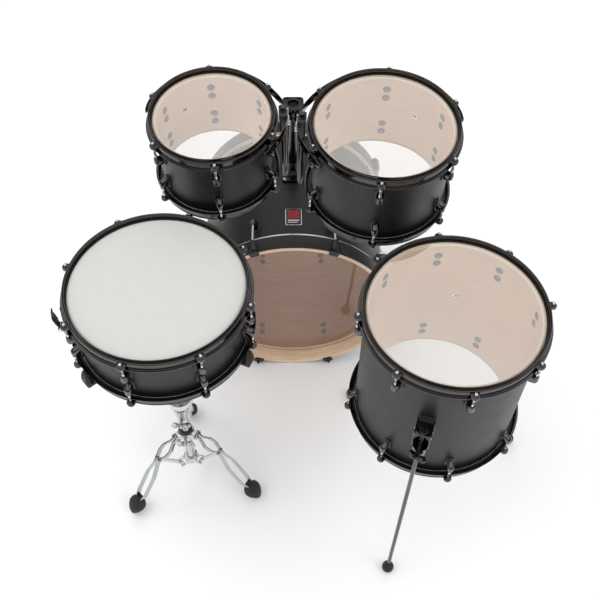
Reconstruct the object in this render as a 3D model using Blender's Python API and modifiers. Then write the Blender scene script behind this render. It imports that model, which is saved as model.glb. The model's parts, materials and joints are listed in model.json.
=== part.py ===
"""Five-piece acoustic drum kit: bass drum, two rack toms on a holder, floor tom and snare on its stand.

Metres, +Z up, the drummer's side towards -Y.  Each drum is modelled in its own frame: its origin is the
centre of the batter head's playing surface and its +Z points out of that head.
"""
import math

import bmesh
import bpy
from mathutils import Matrix, Vector

INCH = 0.0254
GAP = 0.0003                 # between pieces that touch

# drums: diameter, depth between heads, lugs a side and first lug's bearing in degrees
BASS_DIAMETER, BASS_DEPTH, BASS_LUGS, BASS_PHASE = 20 * INCH, 16 * INCH, 8, 22.5
SMALL_DIAMETER, SMALL_DEPTH, SMALL_LUGS, SMALL_PHASE = 10 * INCH, 7 * INCH, 6, 34.5
LARGE_DIAMETER, LARGE_DEPTH, LARGE_LUGS, LARGE_PHASE = 12 * INCH, 8 * INCH, 6, 23.2
FLOOR_DIAMETER, FLOOR_DEPTH, FLOOR_LUGS, FLOOR_PHASE = 14 * INCH, 14 * INCH, 8, 50.4
SNARE_DIAMETER, SNARE_DEPTH, SNARE_LUGS, SNARE_PHASE = 14 * INCH, 5.5 * INCH, 8, -15.6

# how the kit is set up
TOM_RISE = 0.444             # rack tom heads above the top of the bass shell
SMALL_BACK, LARGE_BACK = 0.009, -0.022      # rack tom centres behind the batter hoop's face
SMALL_LEAN, LARGE_LEAN = (-0.020, -0.089), (0.011, -0.064)
BAND_GAP, TOM_MIDDLE = 0.0186, -0.006       # between the two suspension bands, and its middle's x
FLOOR_HEAD_Z, FLOOR_BEARING, FLOOR_CLEAR = 0.834, -72.8, 0.019
SNARE_HEAD_Z, SNARE_BEARING, SNARE_CLEAR = 0.843, -105.7, 0.012

# drum construction
SHELL_WALL = 0.0065
SHELL_INSET = 0.0005         # shell surface inside the nominal radius
FILM = 0.0006
FLESH_IN, FLESH_OUT, FLESH_HIGH = 0.0010, 0.0065, 0.009
RIM_IN, RIM_HIGH, RIM_WALL = 0.0035, 0.012, 0.0025
SKIRT_IN, SKIRT_OUT, SKIRT_LOW = 0.0080, 0.0105, 0.0160
LIP_OUT, WEB_HIGH, WEB_LOW = 0.0145, 0.0030, 0.0005
EAR_OUT, EAR_WIDE, EAR_LOW = 0.0245, 0.018, 0.0065
ROD_OFFSET, ROD_RADIUS, ROD_HEAD = 0.0170, 0.0030, 0.0048
LUG_OUT, LUG_WIDE, LUG_TOP, LUG_HIGH = 0.0235, 0.018, 0.030, 0.038
ROUND, BASS_ROUND, ROD_SIDES = 24, 32, 4

# bass drum hoops and claws
WOOD_HIGH, WOOD_IN, WOOD_OUT = 0.045, 0.0030, 0.0150
HOOP_PROUD = 0.035           # how far a wood hoop stands in front of its head
COLLAR_OUT, BASS_FLESH_OUT = 0.0016, 0.0090
CLAW_OUT, CLAW_WIDE, CLAW_DEEP, CLAW_THICK = 0.0275, 0.022, 0.030, 0.004
CLAW_HOOK = 0.006            # how far a claw reaches over the hoop's face
BASS_ROD_OFFSET, BASS_ROD_PROUD = 0.0225, 0.009
BASS_LUG_OUT, BASS_LUG_WIDE, BASS_LUG_START, BASS_LUG_LONG = 0.030, 0.018, 0.045, 0.040

# spurs
SPUR_BEARING, SPUR_BACK = -20.0, 0.300
SPUR_REACH, SPUR_FORWARD, SPUR_RADIUS = 0.085, 0.090, 0.006
SPUR_PLATE = (0.046, 0.050, 0.018)
SPUR_DISC, SPUR_DISC_HIGH = 0.016, 0.012

# rack tom holder
HOLDER_BACK = 0.285
BASE_PLATE = (0.060, 0.080, 0.006)
BASE_COLLAR, BASE_COLLAR_HIGH = 0.022, 0.046
POST_RADIUS, POST_WALL, POST_IN_SHELL = 0.0127, 0.002, 0.080
CLAMP_RISE = 0.222           # arm level above the top of the bass shell
CLAMP_SIZE = (0.054, 0.050, 0.040)
BALL_RADIUS, BALL_APART, BALL_FORWARD = 0.0095, 0.0256, 0.0115
CHEEK_WALL = 0.0040
ARM_RADIUS, ARM_BEND, ARM_TOP = 0.00525, 0.022, 0.010

# suspension bands of the rack toms
BAND_OUT, BAND_NEAR, BAND_WALL = 0.0355, 0.0236, 0.0022
BAND_TOP, BAND_LOW, BAND_OVERHANG = -0.0072, -0.0292, 13.0
BAND_BULGE = 26.0            # degrees over which the band swells round its bracket
BRACKET_WIDE, BRACKET_HIGH, BRACKET_TOP = 0.034, 0.046, 0.000
BRACKET_IN, BRACKET_OUT, ARM_OFFSET = 0.0165, 0.0340, 0.0250
SMALL_BRACKET, LARGE_BRACKET = 4.0, 173.0
SMALL_BAND, LARGE_BAND = 64.5, 113.2    # bearing of the middle of each band

# floor tom legs
LEG_BEARING, LEG_OFFSET, LEG_RADIUS = -109.1, 0.030, 0.00475
LEG_TURNS, LEG_SPLAYS = (0, 135, 225), (0.026, 0.120, 0.120)     # of the three legs
LEG_TOP, LEG_BEND = 0.122, 0.400          # below the batter head
LEG_FOOT, LEG_FOOT_HIGH = 0.015, 0.030
LEG_BRACKET = (0.036, 0.040, 0.080)       # across, out from the shell, high
LEG_BRACKET_TOP = 0.130

# snare strainer, butt plate and wires
STRAINER_SIDE, BUTT_SIDE = 186.9, 6.9
STRAINER = (0.034, 0.026, 0.062)
STRAINER_TOP, BUTT_TOP = 0.050, 0.072
BUTT = (0.034, 0.014, 0.036)
LEVER_LONG, LEVER_WIDE, LEVER_THICK = 0.058, 0.020, 0.005
KNOB_RADIUS, KNOB_HIGH = 0.0085, 0.014
WIRE_WIDE, WIRE_HIGH, STRAP_WIDE, STRAP_THICK = 0.042, 0.0016, 0.024, 0.0008
GATE_WIDE, WIRE_DROP = 0.032, 0.003

# snare stand
STAND_RADIUS, FOOT_BEARING, FOOT_REACH = 0.0127, 216.8, 0.185
HUB_LOW, HUB_HIGH, PIVOT_REACH = 0.095, 0.235, 0.030
CROSS_REACH, CROSS_HIGH = 0.090, 0.190
HUB_RADIUS, HUB_TALL = 0.0185, 0.022
TAB_HALF, CHEEK_THICK = 0.0035, 0.0028
STRIP_THICK, STRIP_DEEP, STRIP_BOW, STRIP_PINCH = 0.003, 0.014, 0.0140, 0.0056
TUBE_LOW, TUBE_TOP = 0.072, 0.318
NECK_HIGH, NECK_RADIUS = 0.092, 0.032
UPPER_RADIUS, UPPER_LOW, UPPER_BORE_LOW = 0.0095, 0.200, 0.090
TILTER_DROP = 0.100          # tilter pivot below the snare's bottom hoop
BASKET_BEARINGS = (220.0, 336.0, 98.0)
GRIP_WIDE, GRIP_WALL, GRIP_HIGH = 0.024, 0.009, 0.034
FOLD_ANGLE = math.radians(30.0)

COLOURS = {
    "shell": ((0.030, 0.031, 0.033), 0.55, 0.0),
    "clear_film": ((0.85, 0.83, 0.80), 0.15, 0.0),
    "coated_film": ((0.88, 0.89, 0.86), 0.60, 0.0),
    "maple": ((0.62, 0.45, 0.29), 0.45, 0.0),
    "dark_chrome": ((0.16, 0.15, 0.15), 0.18, 1.0),
    "chrome": ((0.80, 0.81, 0.82), 0.08, 1.0),
    "black": ((0.02, 0.02, 0.02), 0.35, 0.0),
    "rubber": ((0.025, 0.025, 0.025), 0.80, 0.0),
    "steel_wire": ((0.60, 0.60, 0.60), 0.30, 1.0),
}


def rod_hole(radius):
    """Radius of a hole that a round bar of this radius slides in."""
    return radius + 0.0006


class Kit:
    """The collections, materials and the empty that every piece hangs from."""

    def __init__(self):
        for old in list(bpy.data.objects):
            bpy.data.objects.remove(old, do_unlink=True)
        self.parts = bpy.data.collections.new("drum_kit")
        self.cutters = bpy.data.collections.new("cutters")
        for collection in (self.parts, self.cutters):
            bpy.context.scene.collection.children.link(collection)
        self.origin = self.empty("kit_origin", None, Matrix())
        self.materials = {}

    def empty(self, name, parent, matrix):
        marker = bpy.data.objects.new(name, None)
        self.parts.objects.link(marker)
        marker.parent = parent
        marker.matrix_local = matrix
        return marker

    def material(self, key):
        if key not in self.materials:
            colour, roughness, metallic = COLOURS[key]
            made = bpy.data.materials.new(key)
            made.use_nodes = True
            shader = made.node_tree.nodes["Principled BSDF"]
            shader.inputs["Base Color"].default_value = (*colour, 1.0)
            shader.inputs["Roughness"].default_value = roughness
            shader.inputs["Metallic"].default_value = metallic
            self.materials[key] = made
        return self.materials[key]

    def add(self, name, mesh, key, parent, matrix=None):
        piece = bpy.data.objects.new(name, mesh)
        self.parts.objects.link(piece)
        piece.parent = parent or self.origin
        piece.matrix_local = matrix or Matrix()
        mesh.materials.clear()
        mesh.materials.append(self.material(key))
        mesh.shade_smooth()
        mesh.set_sharp_from_angle(angle=math.radians(35))
        return piece


def polar(radius, degrees, height=0.0):
    turn = math.radians(degrees)
    return Vector((radius * math.cos(turn), radius * math.sin(turn), height))


def radial(degrees, centre=Vector()):
    """Frame at a bearing: local X points outwards, Z stays up."""
    return Matrix.Translation(centre) @ Matrix.Rotation(math.radians(degrees), 4, "Z")


def along(start, direction):
    """Frame at a point whose local Z runs along a direction."""
    turn = Vector((0, 0, 1)).rotation_difference(Vector(direction).normalized())
    return Matrix.Translation(start) @ turn.to_matrix().to_4x4()


def mesh_of(piece):
    """The evaluated mesh of an object, with all its modifiers applied."""
    bpy.context.view_layer.update()
    graph = bpy.context.evaluated_depsgraph_get()
    return bpy.data.meshes.new_from_object(piece.evaluated_get(graph))


def mesh_from(bm, name):
    bmesh.ops.recalc_face_normals(bm, faces=bm.faces)
    mesh = bpy.data.meshes.new(name)
    bm.to_mesh(mesh)
    bm.free()
    return mesh


def boxes(name, placed):
    """One mesh of separate boxes; each is (matrix, low corner, high corner)."""
    bm = bmesh.new()
    for matrix, low, high in placed:
        low, high = Vector(low), Vector(high)
        size = Matrix.Diagonal((*(high - low), 1.0))
        bmesh.ops.create_cube(bm, size=1.0, matrix=matrix @ Matrix.Translation((low + high) / 2) @ size)
    return mesh_from(bm, name)


def turned(name, profile, sides, closed=False):
    """A Screw of an (r, z) profile that runs down its outer side."""
    bm = bmesh.new()
    points = [bm.verts.new((r, 0, z)) for r, z in profile]
    for first, second in zip(points, points[1:]):
        bm.edges.new((first, second))
    if closed:
        bm.edges.new((points[-1], points[0]))
    mesh = bpy.data.meshes.new(name)
    bm.to_mesh(mesh)
    bm.free()
    holder = bpy.data.objects.new(name + "_profile", mesh)
    bpy.context.scene.collection.objects.link(holder)
    screw = holder.modifiers.new("turn", "SCREW")
    screw.steps = screw.render_steps = sides
    screw.use_merge_vertices = True
    screw.merge_threshold = 0.0001
    result = mesh_of(holder)
    result.name = name
    bpy.data.objects.remove(holder, do_unlink=True)
    return result


def cylinder(name, radius, low, high, sides):
    return turned(name, [(0, high), (radius, high), (radius, low), (0, low)], sides)


def several(name, mesh, matrices):
    """One mesh that holds a copy of another at each matrix."""
    bm = bmesh.new()
    for matrix in matrices:
        copy = mesh.copy()
        copy.transform(matrix)
        bm.from_mesh(copy)
        bpy.data.meshes.remove(copy)
    return mesh_from(bm, name)


def bar(kit, name, points, radius):
    """A round bar along points: a bevelled curve made a closed mesh."""
    curve = bpy.data.curves.new(name, "CURVE")
    curve.dimensions = "3D"
    curve.bevel_depth = radius
    curve.bevel_resolution = 2
    curve.use_fill_caps = True
    spline = curve.splines.new("POLY")
    spline.points.add(len(points) - 1)
    for place, point in zip(spline.points, points):
        place.co = (*point, 1.0)
    holder = bpy.data.objects.new(name + "_line", curve)
    kit.parts.objects.link(holder)
    mesh = mesh_of(holder)
    bpy.data.objects.remove(holder, do_unlink=True)
    bm = bmesh.new()
    bm.from_mesh(mesh)
    bmesh.ops.remove_doubles(bm, verts=bm.verts, dist=0.00001)
    return mesh_from(bm, name)


def loft(name, sections):
    """A closed body through rings that all have the same number of points."""
    bm = bmesh.new()
    rings = [[bm.verts.new(point) for point in ring] for ring in sections]
    count = len(rings[0])
    for first, second in zip(rings, rings[1:]):
        for k in range(count):
            after = (k + 1) % count
            bm.faces.new((first[k], first[after], second[after], second[k]))
    bm.faces.new(rings[0])
    bm.faces.new(rings[-1])
    return mesh_from(bm, name)


def combine(kit, piece, operation, *meshes):
    """Join or cut a piece with meshes in the piece's own frame, one Boolean each."""
    for mesh in meshes:
        tool = bpy.data.objects.new(piece.name + "_tool", mesh)
        kit.cutters.objects.link(tool)
        tool.parent = piece
        tool.hide_render = True
        tool.display_type = "WIRE"
        change = piece.modifiers.new(operation.lower(), "BOOLEAN")
        change.operation = operation
        change.object = tool
        change.solver = "EXACT"


def bend(before, corner, after, radius, steps=4):
    """Points of a rounded corner on the way from one point to another."""
    into, out = (corner - before).normalized(), (after - corner).normalized()
    half = into.angle(out) / 2
    start = corner - into * radius * math.tan(half)
    side = (out - into * into.dot(out)).normalized()
    turns = [2 * half * k / steps for k in range(steps + 1)]
    return [start + radius * (into * math.sin(t) + side * (1 - math.cos(t))) for t in turns]


class Drum:
    """Sizes and frame of one drum; bearings turn from local +X towards +Y."""

    def __init__(self, kit, name, diameter, depth, lugs, phase, matrix, sides=ROUND):
        self.kit, self.name, self.depth, self.sides = kit, name, depth, sides
        self.radius = diameter / 2
        self.bearings = [phase + 360.0 / lugs * k for k in range(lugs)]
        self.frame = kit.empty(name + "_axis", kit.origin, matrix)
        self.matrix = matrix

    def side(self, profile, bottom):
        """A profile on the batter side, or the same one mirrored to the other side."""
        if not bottom:
            return profile
        return [(r, -self.depth - z) for r, z in reversed(profile)]

    def add(self, part, mesh, key, matrix=None):
        return self.kit.add(self.name + "_" + part, mesh, key, self.frame, matrix)

    def spread(self, low, high):
        """Boxes at each lug bearing, from (out, across, up) corners."""
        return [(radial(b), low, high) for b in self.bearings]


def leaned(place, lean):
    """Frame of a drum whose axis leans from vertical by (x, y) slopes."""
    normal = Vector((*lean, 1.0)).normalized()
    across = (Vector((1, 0, 0)) - normal * normal.x).normalized()
    behind = normal.cross(across)
    turn = Matrix((across, behind, normal)).transposed().to_4x4()
    return Matrix.Translation(place) @ turn


def shell(drum, lug_boxes):
    """Ring between the two heads, with its lugs joined on."""
    out, inner = drum.radius - SHELL_INSET, drum.radius - SHELL_INSET - SHELL_WALL
    top, low = -FILM - GAP, -drum.depth + FILM + GAP
    ring = turned("shell", [(inner, top), (out, top), (out, low), (inner, low)], drum.sides, True)
    piece = drum.add("shell", ring, "shell")
    combine(drum.kit, piece, "UNION", boxes("lugs", lug_boxes))
    return piece


def small_lugs(drum, lug_top, lug_high):
    reach = (drum.radius - 0.004, drum.radius + LUG_OUT)
    half = LUG_WIDE / 2
    placed = []
    for low in (-lug_top - lug_high, -drum.depth + lug_top):
        placed += drum.spread((reach[0], -half, low), (reach[1], half, low + lug_high))
    return placed


def head(drum, part, key, bottom):
    """Film with its collar and the flesh hoop that carries it."""
    r = drum.radius
    profile = [(0, 0), (r + FLESH_OUT, 0), (r + FLESH_OUT, -FLESH_HIGH), (r + FLESH_IN, -FLESH_HIGH),
               (r + FLESH_IN, -FILM), (0, -FILM)]
    drum.add(part, turned(part, drum.side(profile, bottom), drum.sides), key)


def metal_hoop(drum, part, bottom, lug_top, gates=()):
    """Triple-flanged hoop with its ears and tension rods."""
    r = drum.radius
    profile = [(r + RIM_IN, RIM_HIGH), (r + RIM_IN + RIM_WALL, RIM_HIGH), (r + SKIRT_OUT, WEB_HIGH),
               (r + LIP_OUT, -SKIRT_LOW), (r + SKIRT_IN, -SKIRT_LOW), (r + SKIRT_IN, WEB_LOW),
               (r + RIM_IN, WEB_LOW)]
    piece = drum.add(part, turned(part, drum.side(profile, bottom), drum.sides, True), "dark_chrome")
    half = EAR_WIDE / 2
    ear_low, ear_high = sorted(-drum.depth - z if bottom else z for z in (-EAR_LOW, -0.0005))
    ears = drum.spread((r + SKIRT_IN + 0.001, -half, ear_low), (r + EAR_OUT, half, ear_high))
    rod = [(0, 0.008), (ROD_HEAD, 0.008), (ROD_HEAD, -0.003), (ROD_RADIUS, -0.003),
           (ROD_RADIUS, -lug_top + GAP), (0, -lug_top + GAP)]
    rod_mesh = turned("rod", drum.side(rod, bottom), ROD_SIDES)
    rods = [Matrix.Translation(polar(r + ROD_OFFSET, b)) for b in drum.bearings]
    combine(drum.kit, piece, "UNION", boxes("ears", ears), several("rods", rod_mesh, rods))
    if gates:
        depth = -drum.depth
        cut = [(radial(b), (r + 0.0012, -GATE_WIDE / 2, depth - 0.0060), (r + 0.030, GATE_WIDE / 2, depth + 0.020))
               for b in gates]
        combine(drum.kit, piece, "DIFFERENCE", boxes("gates", cut))
    return piece


def round_drum(drum, batter_key, lug_top=LUG_TOP, lug_high=LUG_HIGH, gates=()):
    made = shell(drum, small_lugs(drum, lug_top, lug_high))
    head(drum, "batter_head", batter_key, False)
    head(drum, "resonant_head", "clear_film", True)
    metal_hoop(drum, "batter_hoop", False, lug_top)
    metal_hoop(drum, "resonant_hoop", True, lug_top, gates)
    return made


def bass_head(drum, part, bottom):
    r, back = drum.radius, HOOP_PROUD - WOOD_HIGH - GAP
    profile = [(0, 0), (r + COLLAR_OUT, 0), (r + COLLAR_OUT, back), (r + BASS_FLESH_OUT, back),
               (r + BASS_FLESH_OUT, back - FLESH_HIGH), (r + SHELL_INSET, back - FLESH_HIGH),
               (r + SHELL_INSET, -FILM), (0, -FILM)]
    drum.add(part, turned(part, drum.side(profile, bottom), drum.sides), "clear_film")


def bass_hoop(drum, part, bottom):
    """Maple hoop with its claws and tension rods."""
    r, front = drum.radius, HOOP_PROUD
    profile = [(r + WOOD_IN, front), (r + WOOD_OUT, front), (r + WOOD_OUT, front - WOOD_HIGH),
               (r + WOOD_IN, front - WOOD_HIGH)]
    piece = drum.add(part, turned(part, drum.side(profile, bottom), drum.sides, True), "maple")

    def at(z):
        return -drum.depth - z if bottom else z

    half = CLAW_WIDE / 2
    face = front + CLAW_THICK
    low, high = sorted((at(front - CLAW_DEEP), at(face)))
    claws = drum.spread((r + CLAW_HOOK, -half, low), (r + CLAW_OUT, half, high))
    rod = [(0, face + BASS_ROD_PROUD), (ROD_HEAD, face + BASS_ROD_PROUD), (ROD_HEAD, face - 0.001),
           (ROD_RADIUS, face - 0.001), (ROD_RADIUS, -BASS_LUG_START + GAP), (0, -BASS_LUG_START + GAP)]
    rod_mesh = turned("rod", drum.side(rod, bottom), ROD_SIDES)
    rods = [Matrix.Translation(polar(r + BASS_ROD_OFFSET, b)) for b in drum.bearings]
    combine(drum.kit, piece, "UNION", boxes("claws", claws), several("rods", rod_mesh, rods))


def bass_drum(kit):
    """Lying drum that carries the holder and the spurs; its frame's +Y points up."""
    rest = BASS_DIAMETER / 2 + WOOD_OUT
    matrix = Matrix.Translation((0, HOOP_PROUD, rest)) @ Matrix.Rotation(math.radians(90), 4, "X")
    drum = Drum(kit, "bass", BASS_DIAMETER, BASS_DEPTH, BASS_LUGS, BASS_PHASE, matrix, BASS_ROUND)
    half, r = BASS_LUG_WIDE / 2, drum.radius
    lugs = []
    for low in (-BASS_LUG_START - BASS_LUG_LONG, -drum.depth + BASS_LUG_START):
        lugs += drum.spread((r - 0.004, -half, low), (r + BASS_LUG_OUT, half, low + BASS_LUG_LONG))
    made = shell(drum, lugs)
    bass_head(drum, "batter_head", False)
    bass_head(drum, "front_head", True)
    bass_hoop(drum, "batter_hoop", False)
    bass_hoop(drum, "front_hoop", True)
    post_hole = cylinder("post_hole", POST_RADIUS + 0.002, -0.03, 0.03, 16)
    post_hole.transform(matrix.inverted() @ Matrix.Translation((0, HOLDER_BACK, rest + r)))
    combine(kit, made, "DIFFERENCE", post_hole)
    return drum


def spur(kit, drum, name, mirror):
    """Bracket on the shell and a leg that turns on it about a radial axis."""
    bearing = 180 - SPUR_BEARING if mirror else SPUR_BEARING
    turn = math.radians(bearing)
    outwards = Vector((math.cos(turn), 0, math.sin(turn)))
    centre = Vector((0, SPUR_BACK, drum.matrix.translation.z))
    seat = along(centre + outwards * drum.radius, outwards)
    across, wide, high = SPUR_PLATE
    plate = boxes("plate", [(Matrix(), (-wide / 2, -across / 2, 0), (wide / 2, across / 2, high))])
    kit.add(name + "_bracket", plate, "black", None, seat)
    disc = cylinder(name, SPUR_DISC, 0, SPUR_DISC_HIGH, 12)
    pivot = centre + outwards * (drum.radius + high + GAP)
    frame = along(pivot, outwards)
    leg = kit.add(name, disc, "dark_chrome", None, frame)
    start = pivot + outwards * SPUR_DISC_HIGH / 2
    sign = -1 if mirror else 1
    foot = Vector((start.x + sign * SPUR_REACH, start.y + SPUR_FORWARD, 0.016))
    to_leg = frame.inverted()
    tube = bar(kit, "tube", [start, foot], SPUR_RADIUS)
    tip = turned("tip", [(0, 0.022), (0.008, 0.022), (0.012, 0.008), (0.010, 0), (0, 0)], 10)
    tip.transform(Matrix.Translation((foot.x, foot.y, 0)))
    for mesh in (tube, tip):
        mesh.transform(to_leg)
    combine(kit, leg, "UNION", tube, tip)


def wing_bolt(kit, name, matrix, shank, wing_span, wing_high=0.016):
    """Bolt whose shank runs out along local Z to a flat wing."""
    stem = turned(name, [(0, shank), (0.0045, shank), (0.0045, 0), (0, 0)], 8)
    bolt = kit.add(name, stem, "dark_chrome", None, matrix)
    wing = boxes("wing", [(Matrix(), (-wing_span / 2, -0.0035, shank - 0.004),
                           (wing_span / 2, 0.0035, shank - 0.004 + wing_high))])
    combine(kit, bolt, "UNION", wing)


def holder(kit, drum):
    """Base on the bass drum, sliding post, clamp block and the frames of the two ball joints."""
    top = drum.matrix.translation.z + drum.radius
    seat = Vector((0, HOLDER_BACK, top))
    wide, deep, high = BASE_PLATE
    bore = rod_hole(POST_RADIUS)
    collar_top = high + BASE_COLLAR_HIGH
    plate = boxes("plate", [(Matrix(), (-wide / 2, -deep / 2, 0), (wide / 2, deep / 2, high))])
    base = kit.add("holder_base", plate, "dark_chrome", None, Matrix.Translation(seat))
    combine(kit, base, "UNION", cylinder("collar", BASE_COLLAR, high / 2, collar_top, 16))
    combine(kit, base, "DIFFERENCE", cylinder("bore", bore, -0.01, collar_top + 0.01, 16))
    bolt_at = seat + Vector((0, -BASE_COLLAR - GAP, high + 0.024))
    wing_bolt(kit, "holder_wing_bolt", along(bolt_at, (0, -1, 0)), 0.012, 0.040)

    level = top + CLAMP_RISE
    wide, deep, high = CLAMP_SIZE
    post_top = CLAMP_RISE + high / 2 - 0.008
    tube = [(POST_RADIUS - POST_WALL, post_top), (POST_RADIUS, post_top), (POST_RADIUS, -POST_IN_SHELL),
            (POST_RADIUS - POST_WALL, -POST_IN_SHELL)]
    kit.add("holder_post", turned("post", tube, 16, True), "dark_chrome", None, Matrix.Translation(seat))
    block = boxes("block", [(Matrix(), (-wide / 2, -deep / 2, -high / 2), (wide / 2, deep / 2, high / 2))])
    clamp = kit.add("holder_clamp", block, "dark_chrome", None, Matrix.Translation((0, HOLDER_BACK, level)))
    reach = deep / 2 + BALL_FORWARD + BALL_RADIUS
    middle = BALL_APART / 2 - BALL_RADIUS - 2 * GAP
    side = BALL_APART / 2 + BALL_RADIUS + 2 * GAP
    cheeks = [(Matrix(), (low, -reach, -0.013), (high_x, -deep / 2 + 0.002, 0.013))
              for low, high_x in ((-middle, middle), (side, side + CHEEK_WALL), (-side - CHEEK_WALL, -side))]
    combine(kit, clamp, "UNION", boxes("cheeks", cheeks))
    combine(kit, clamp, "DIFFERENCE", cylinder("bore", bore, -0.05, 0.05, 16))
    balls = [Vector((sign * BALL_APART / 2, HOLDER_BACK - deep / 2 - BALL_FORWARD, level)) for sign in (-1, 1)]
    return balls


def band_radius(drum, bearing, bracket):
    """Band surface: close to the rods, swelling out round the bracket."""
    off = (bearing - bracket + 180) % 360 - 180
    return drum.radius + BAND_NEAR + (BAND_OUT - BAND_NEAR) * math.exp(-(off / BAND_BULGE) ** 2)


def suspension(kit, drum, bracket, middle):
    """Curved band over four rods with the bracket block that the arm passes through."""
    rods = sorted(drum.bearings, key=lambda b: abs((b - middle + 180) % 360 - 180))[:4]
    offs = sorted((b - middle + 180) % 360 - 180 for b in rods)
    first, last = middle + offs[0] - BAND_OVERHANG, middle + offs[-1] + BAND_OVERHANG
    steps = 26
    sections = []
    for k in range(steps + 1):
        bearing = first + (last - first) * k / steps
        out = band_radius(drum, bearing, bracket)
        inner = out - BAND_WALL
        sections.append([polar(inner, bearing, BAND_LOW), polar(out, bearing, BAND_LOW),
                         polar(out, bearing, BAND_TOP), polar(inner, bearing, BAND_TOP)])
    band = drum.add("suspension", loft("band", sections), "dark_chrome")
    r, half = drum.radius, BRACKET_WIDE / 2
    low = BRACKET_TOP - BRACKET_HIGH
    block = [(radial(bracket), (r + BRACKET_IN, -half, low), (r + BRACKET_OUT, half, BRACKET_TOP))]
    tab_in = r + ROD_OFFSET + ROD_RADIUS + 0.0006
    tabs = [(radial(b), (tab_in, -0.007, -0.0185),
             (band_radius(drum, b, bracket) - BAND_WALL + 0.001, 0.007, -0.0145)) for b in rods]
    combine(kit, band, "UNION", boxes("block", block), boxes("tabs", tabs))
    hole = cylinder("hole", rod_hole(ARM_RADIUS), low - 0.01, 0.02, 12)
    hole.transform(Matrix.Translation(polar(r + ARM_OFFSET, bracket)))
    combine(kit, band, "DIFFERENCE", hole)


def tom_arm(kit, drum, name, bracket, ball):
    """Bent bar from its ball joint, forwards and then up through the tom's bracket."""
    foot = drum.matrix @ polar(drum.radius + ARM_OFFSET, bracket)
    axis = (drum.matrix.to_3x3() @ Vector((0, 0, 1))).normalized()
    corner = foot - axis * ((foot.z - ball.z) / axis.z)
    top = foot + axis * ARM_TOP
    points = [ball] + bend(ball, corner, top, ARM_BEND) + [top]
    frame = Matrix.Translation(ball)
    sphere = bmesh.new()
    bmesh.ops.create_uvsphere(sphere, u_segments=10, v_segments=6, radius=BALL_RADIUS,
                              matrix=Matrix.Rotation(math.radians(90), 4, "Y"))
    arm = kit.add(name, mesh_from(sphere, name), "dark_chrome", None, frame)
    tube = bar(kit, "arm_tube", points, ARM_RADIUS)
    tube.transform(frame.inverted())
    combine(kit, arm, "UNION", tube)


def rack_toms(kit, bass):
    """Both rack toms, their bands and arms."""
    head_z = bass.matrix.translation.z + bass.radius + TOM_RISE
    balls = holder(kit, bass)
    toms = []
    setup = (
        ("small_tom", SMALL_DIAMETER, SMALL_DEPTH, SMALL_LUGS, SMALL_PHASE, -1, SMALL_BACK, SMALL_LEAN,
         SMALL_BRACKET, SMALL_BAND),
        ("large_tom", LARGE_DIAMETER, LARGE_DEPTH, LARGE_LUGS, LARGE_PHASE, 1, LARGE_BACK, LARGE_LEAN,
         LARGE_BRACKET, LARGE_BAND),
    )
    for (name, diameter, depth, lugs, phase, sign, back, lean, bracket, middle), ball in zip(setup, balls):
        x = TOM_MIDDLE + sign * (BAND_GAP / 2 + diameter / 2 + BAND_OUT)
        drum = Drum(kit, name, diameter, depth, lugs, phase, leaned(Vector((x, back, head_z)), lean))
        round_drum(drum, "clear_film")
        suspension(kit, drum, bracket, middle)
        tom_arm(kit, drum, name + "_arm", bracket, ball)
        toms.append(drum)
    return toms


def beside(tom, bearing, radius, clear):
    """Point where a drum of this radius stands clear of a rack tom, in plan."""
    reach = tom.radius + BAND_OUT + clear + EAR_OUT + radius
    return tom.matrix.translation.xy + polar(reach, bearing).xy


def floor_tom(kit, tom):
    place = Vector((*beside(tom, FLOOR_BEARING, FLOOR_DIAMETER / 2, FLOOR_CLEAR), FLOOR_HEAD_Z))
    drum = Drum(kit, "floor_tom", FLOOR_DIAMETER, FLOOR_DEPTH, FLOOR_LUGS, FLOOR_PHASE,
                Matrix.Translation(place))
    body = round_drum(drum, "clear_film")
    r = drum.radius
    across, out, high = LEG_BRACKET
    low = -LEG_BRACKET_TOP - high
    bearings = [LEG_BEARING + turn for turn in LEG_TURNS]
    blocks = [(radial(b), (r - 0.004, -across / 2, low), (r + out, across / 2, low + high)) for b in bearings]
    combine(kit, body, "UNION", boxes("brackets", blocks))
    hole = cylinder("hole", rod_hole(LEG_RADIUS), low - 0.01, low + high + 0.01, 12)
    holes = [Matrix.Translation(polar(r + LEG_OFFSET, b)) for b in bearings]
    combine(kit, body, "DIFFERENCE", several("holes", hole, holes))
    for k, (bearing, splay) in enumerate(zip(bearings, LEG_SPLAYS), 1):
        top = polar(r + LEG_OFFSET, bearing, -LEG_TOP)
        knee = polar(r + LEG_OFFSET, bearing, -LEG_BEND)
        foot = polar(r + LEG_OFFSET + splay, bearing, -place.z + LEG_FOOT)
        tube = bar(kit, "leg_tube", [top] + bend(top, knee, foot, 0.06, 3) + [foot], LEG_RADIUS)
        ball = turned("foot", [(0, LEG_FOOT_HIGH), (0.010, 0.027), (LEG_FOOT, 0.015), (0.013, 0.005),
                               (0.009, 0), (0, 0)], 12)
        ball.transform(Matrix.Translation((foot.x, foot.y, -place.z)))
        leg = drum.add("leg_%d" % k, tube, "dark_chrome")
        combine(kit, leg, "UNION", ball)
        seat = drum.matrix @ polar(r + out + GAP, bearing, low + 0.014)
        wing_bolt(kit, "floor_tom_wing_bolt_%d" % k, along(seat, polar(1, bearing)), 0.010, 0.036)
    return drum


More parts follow.
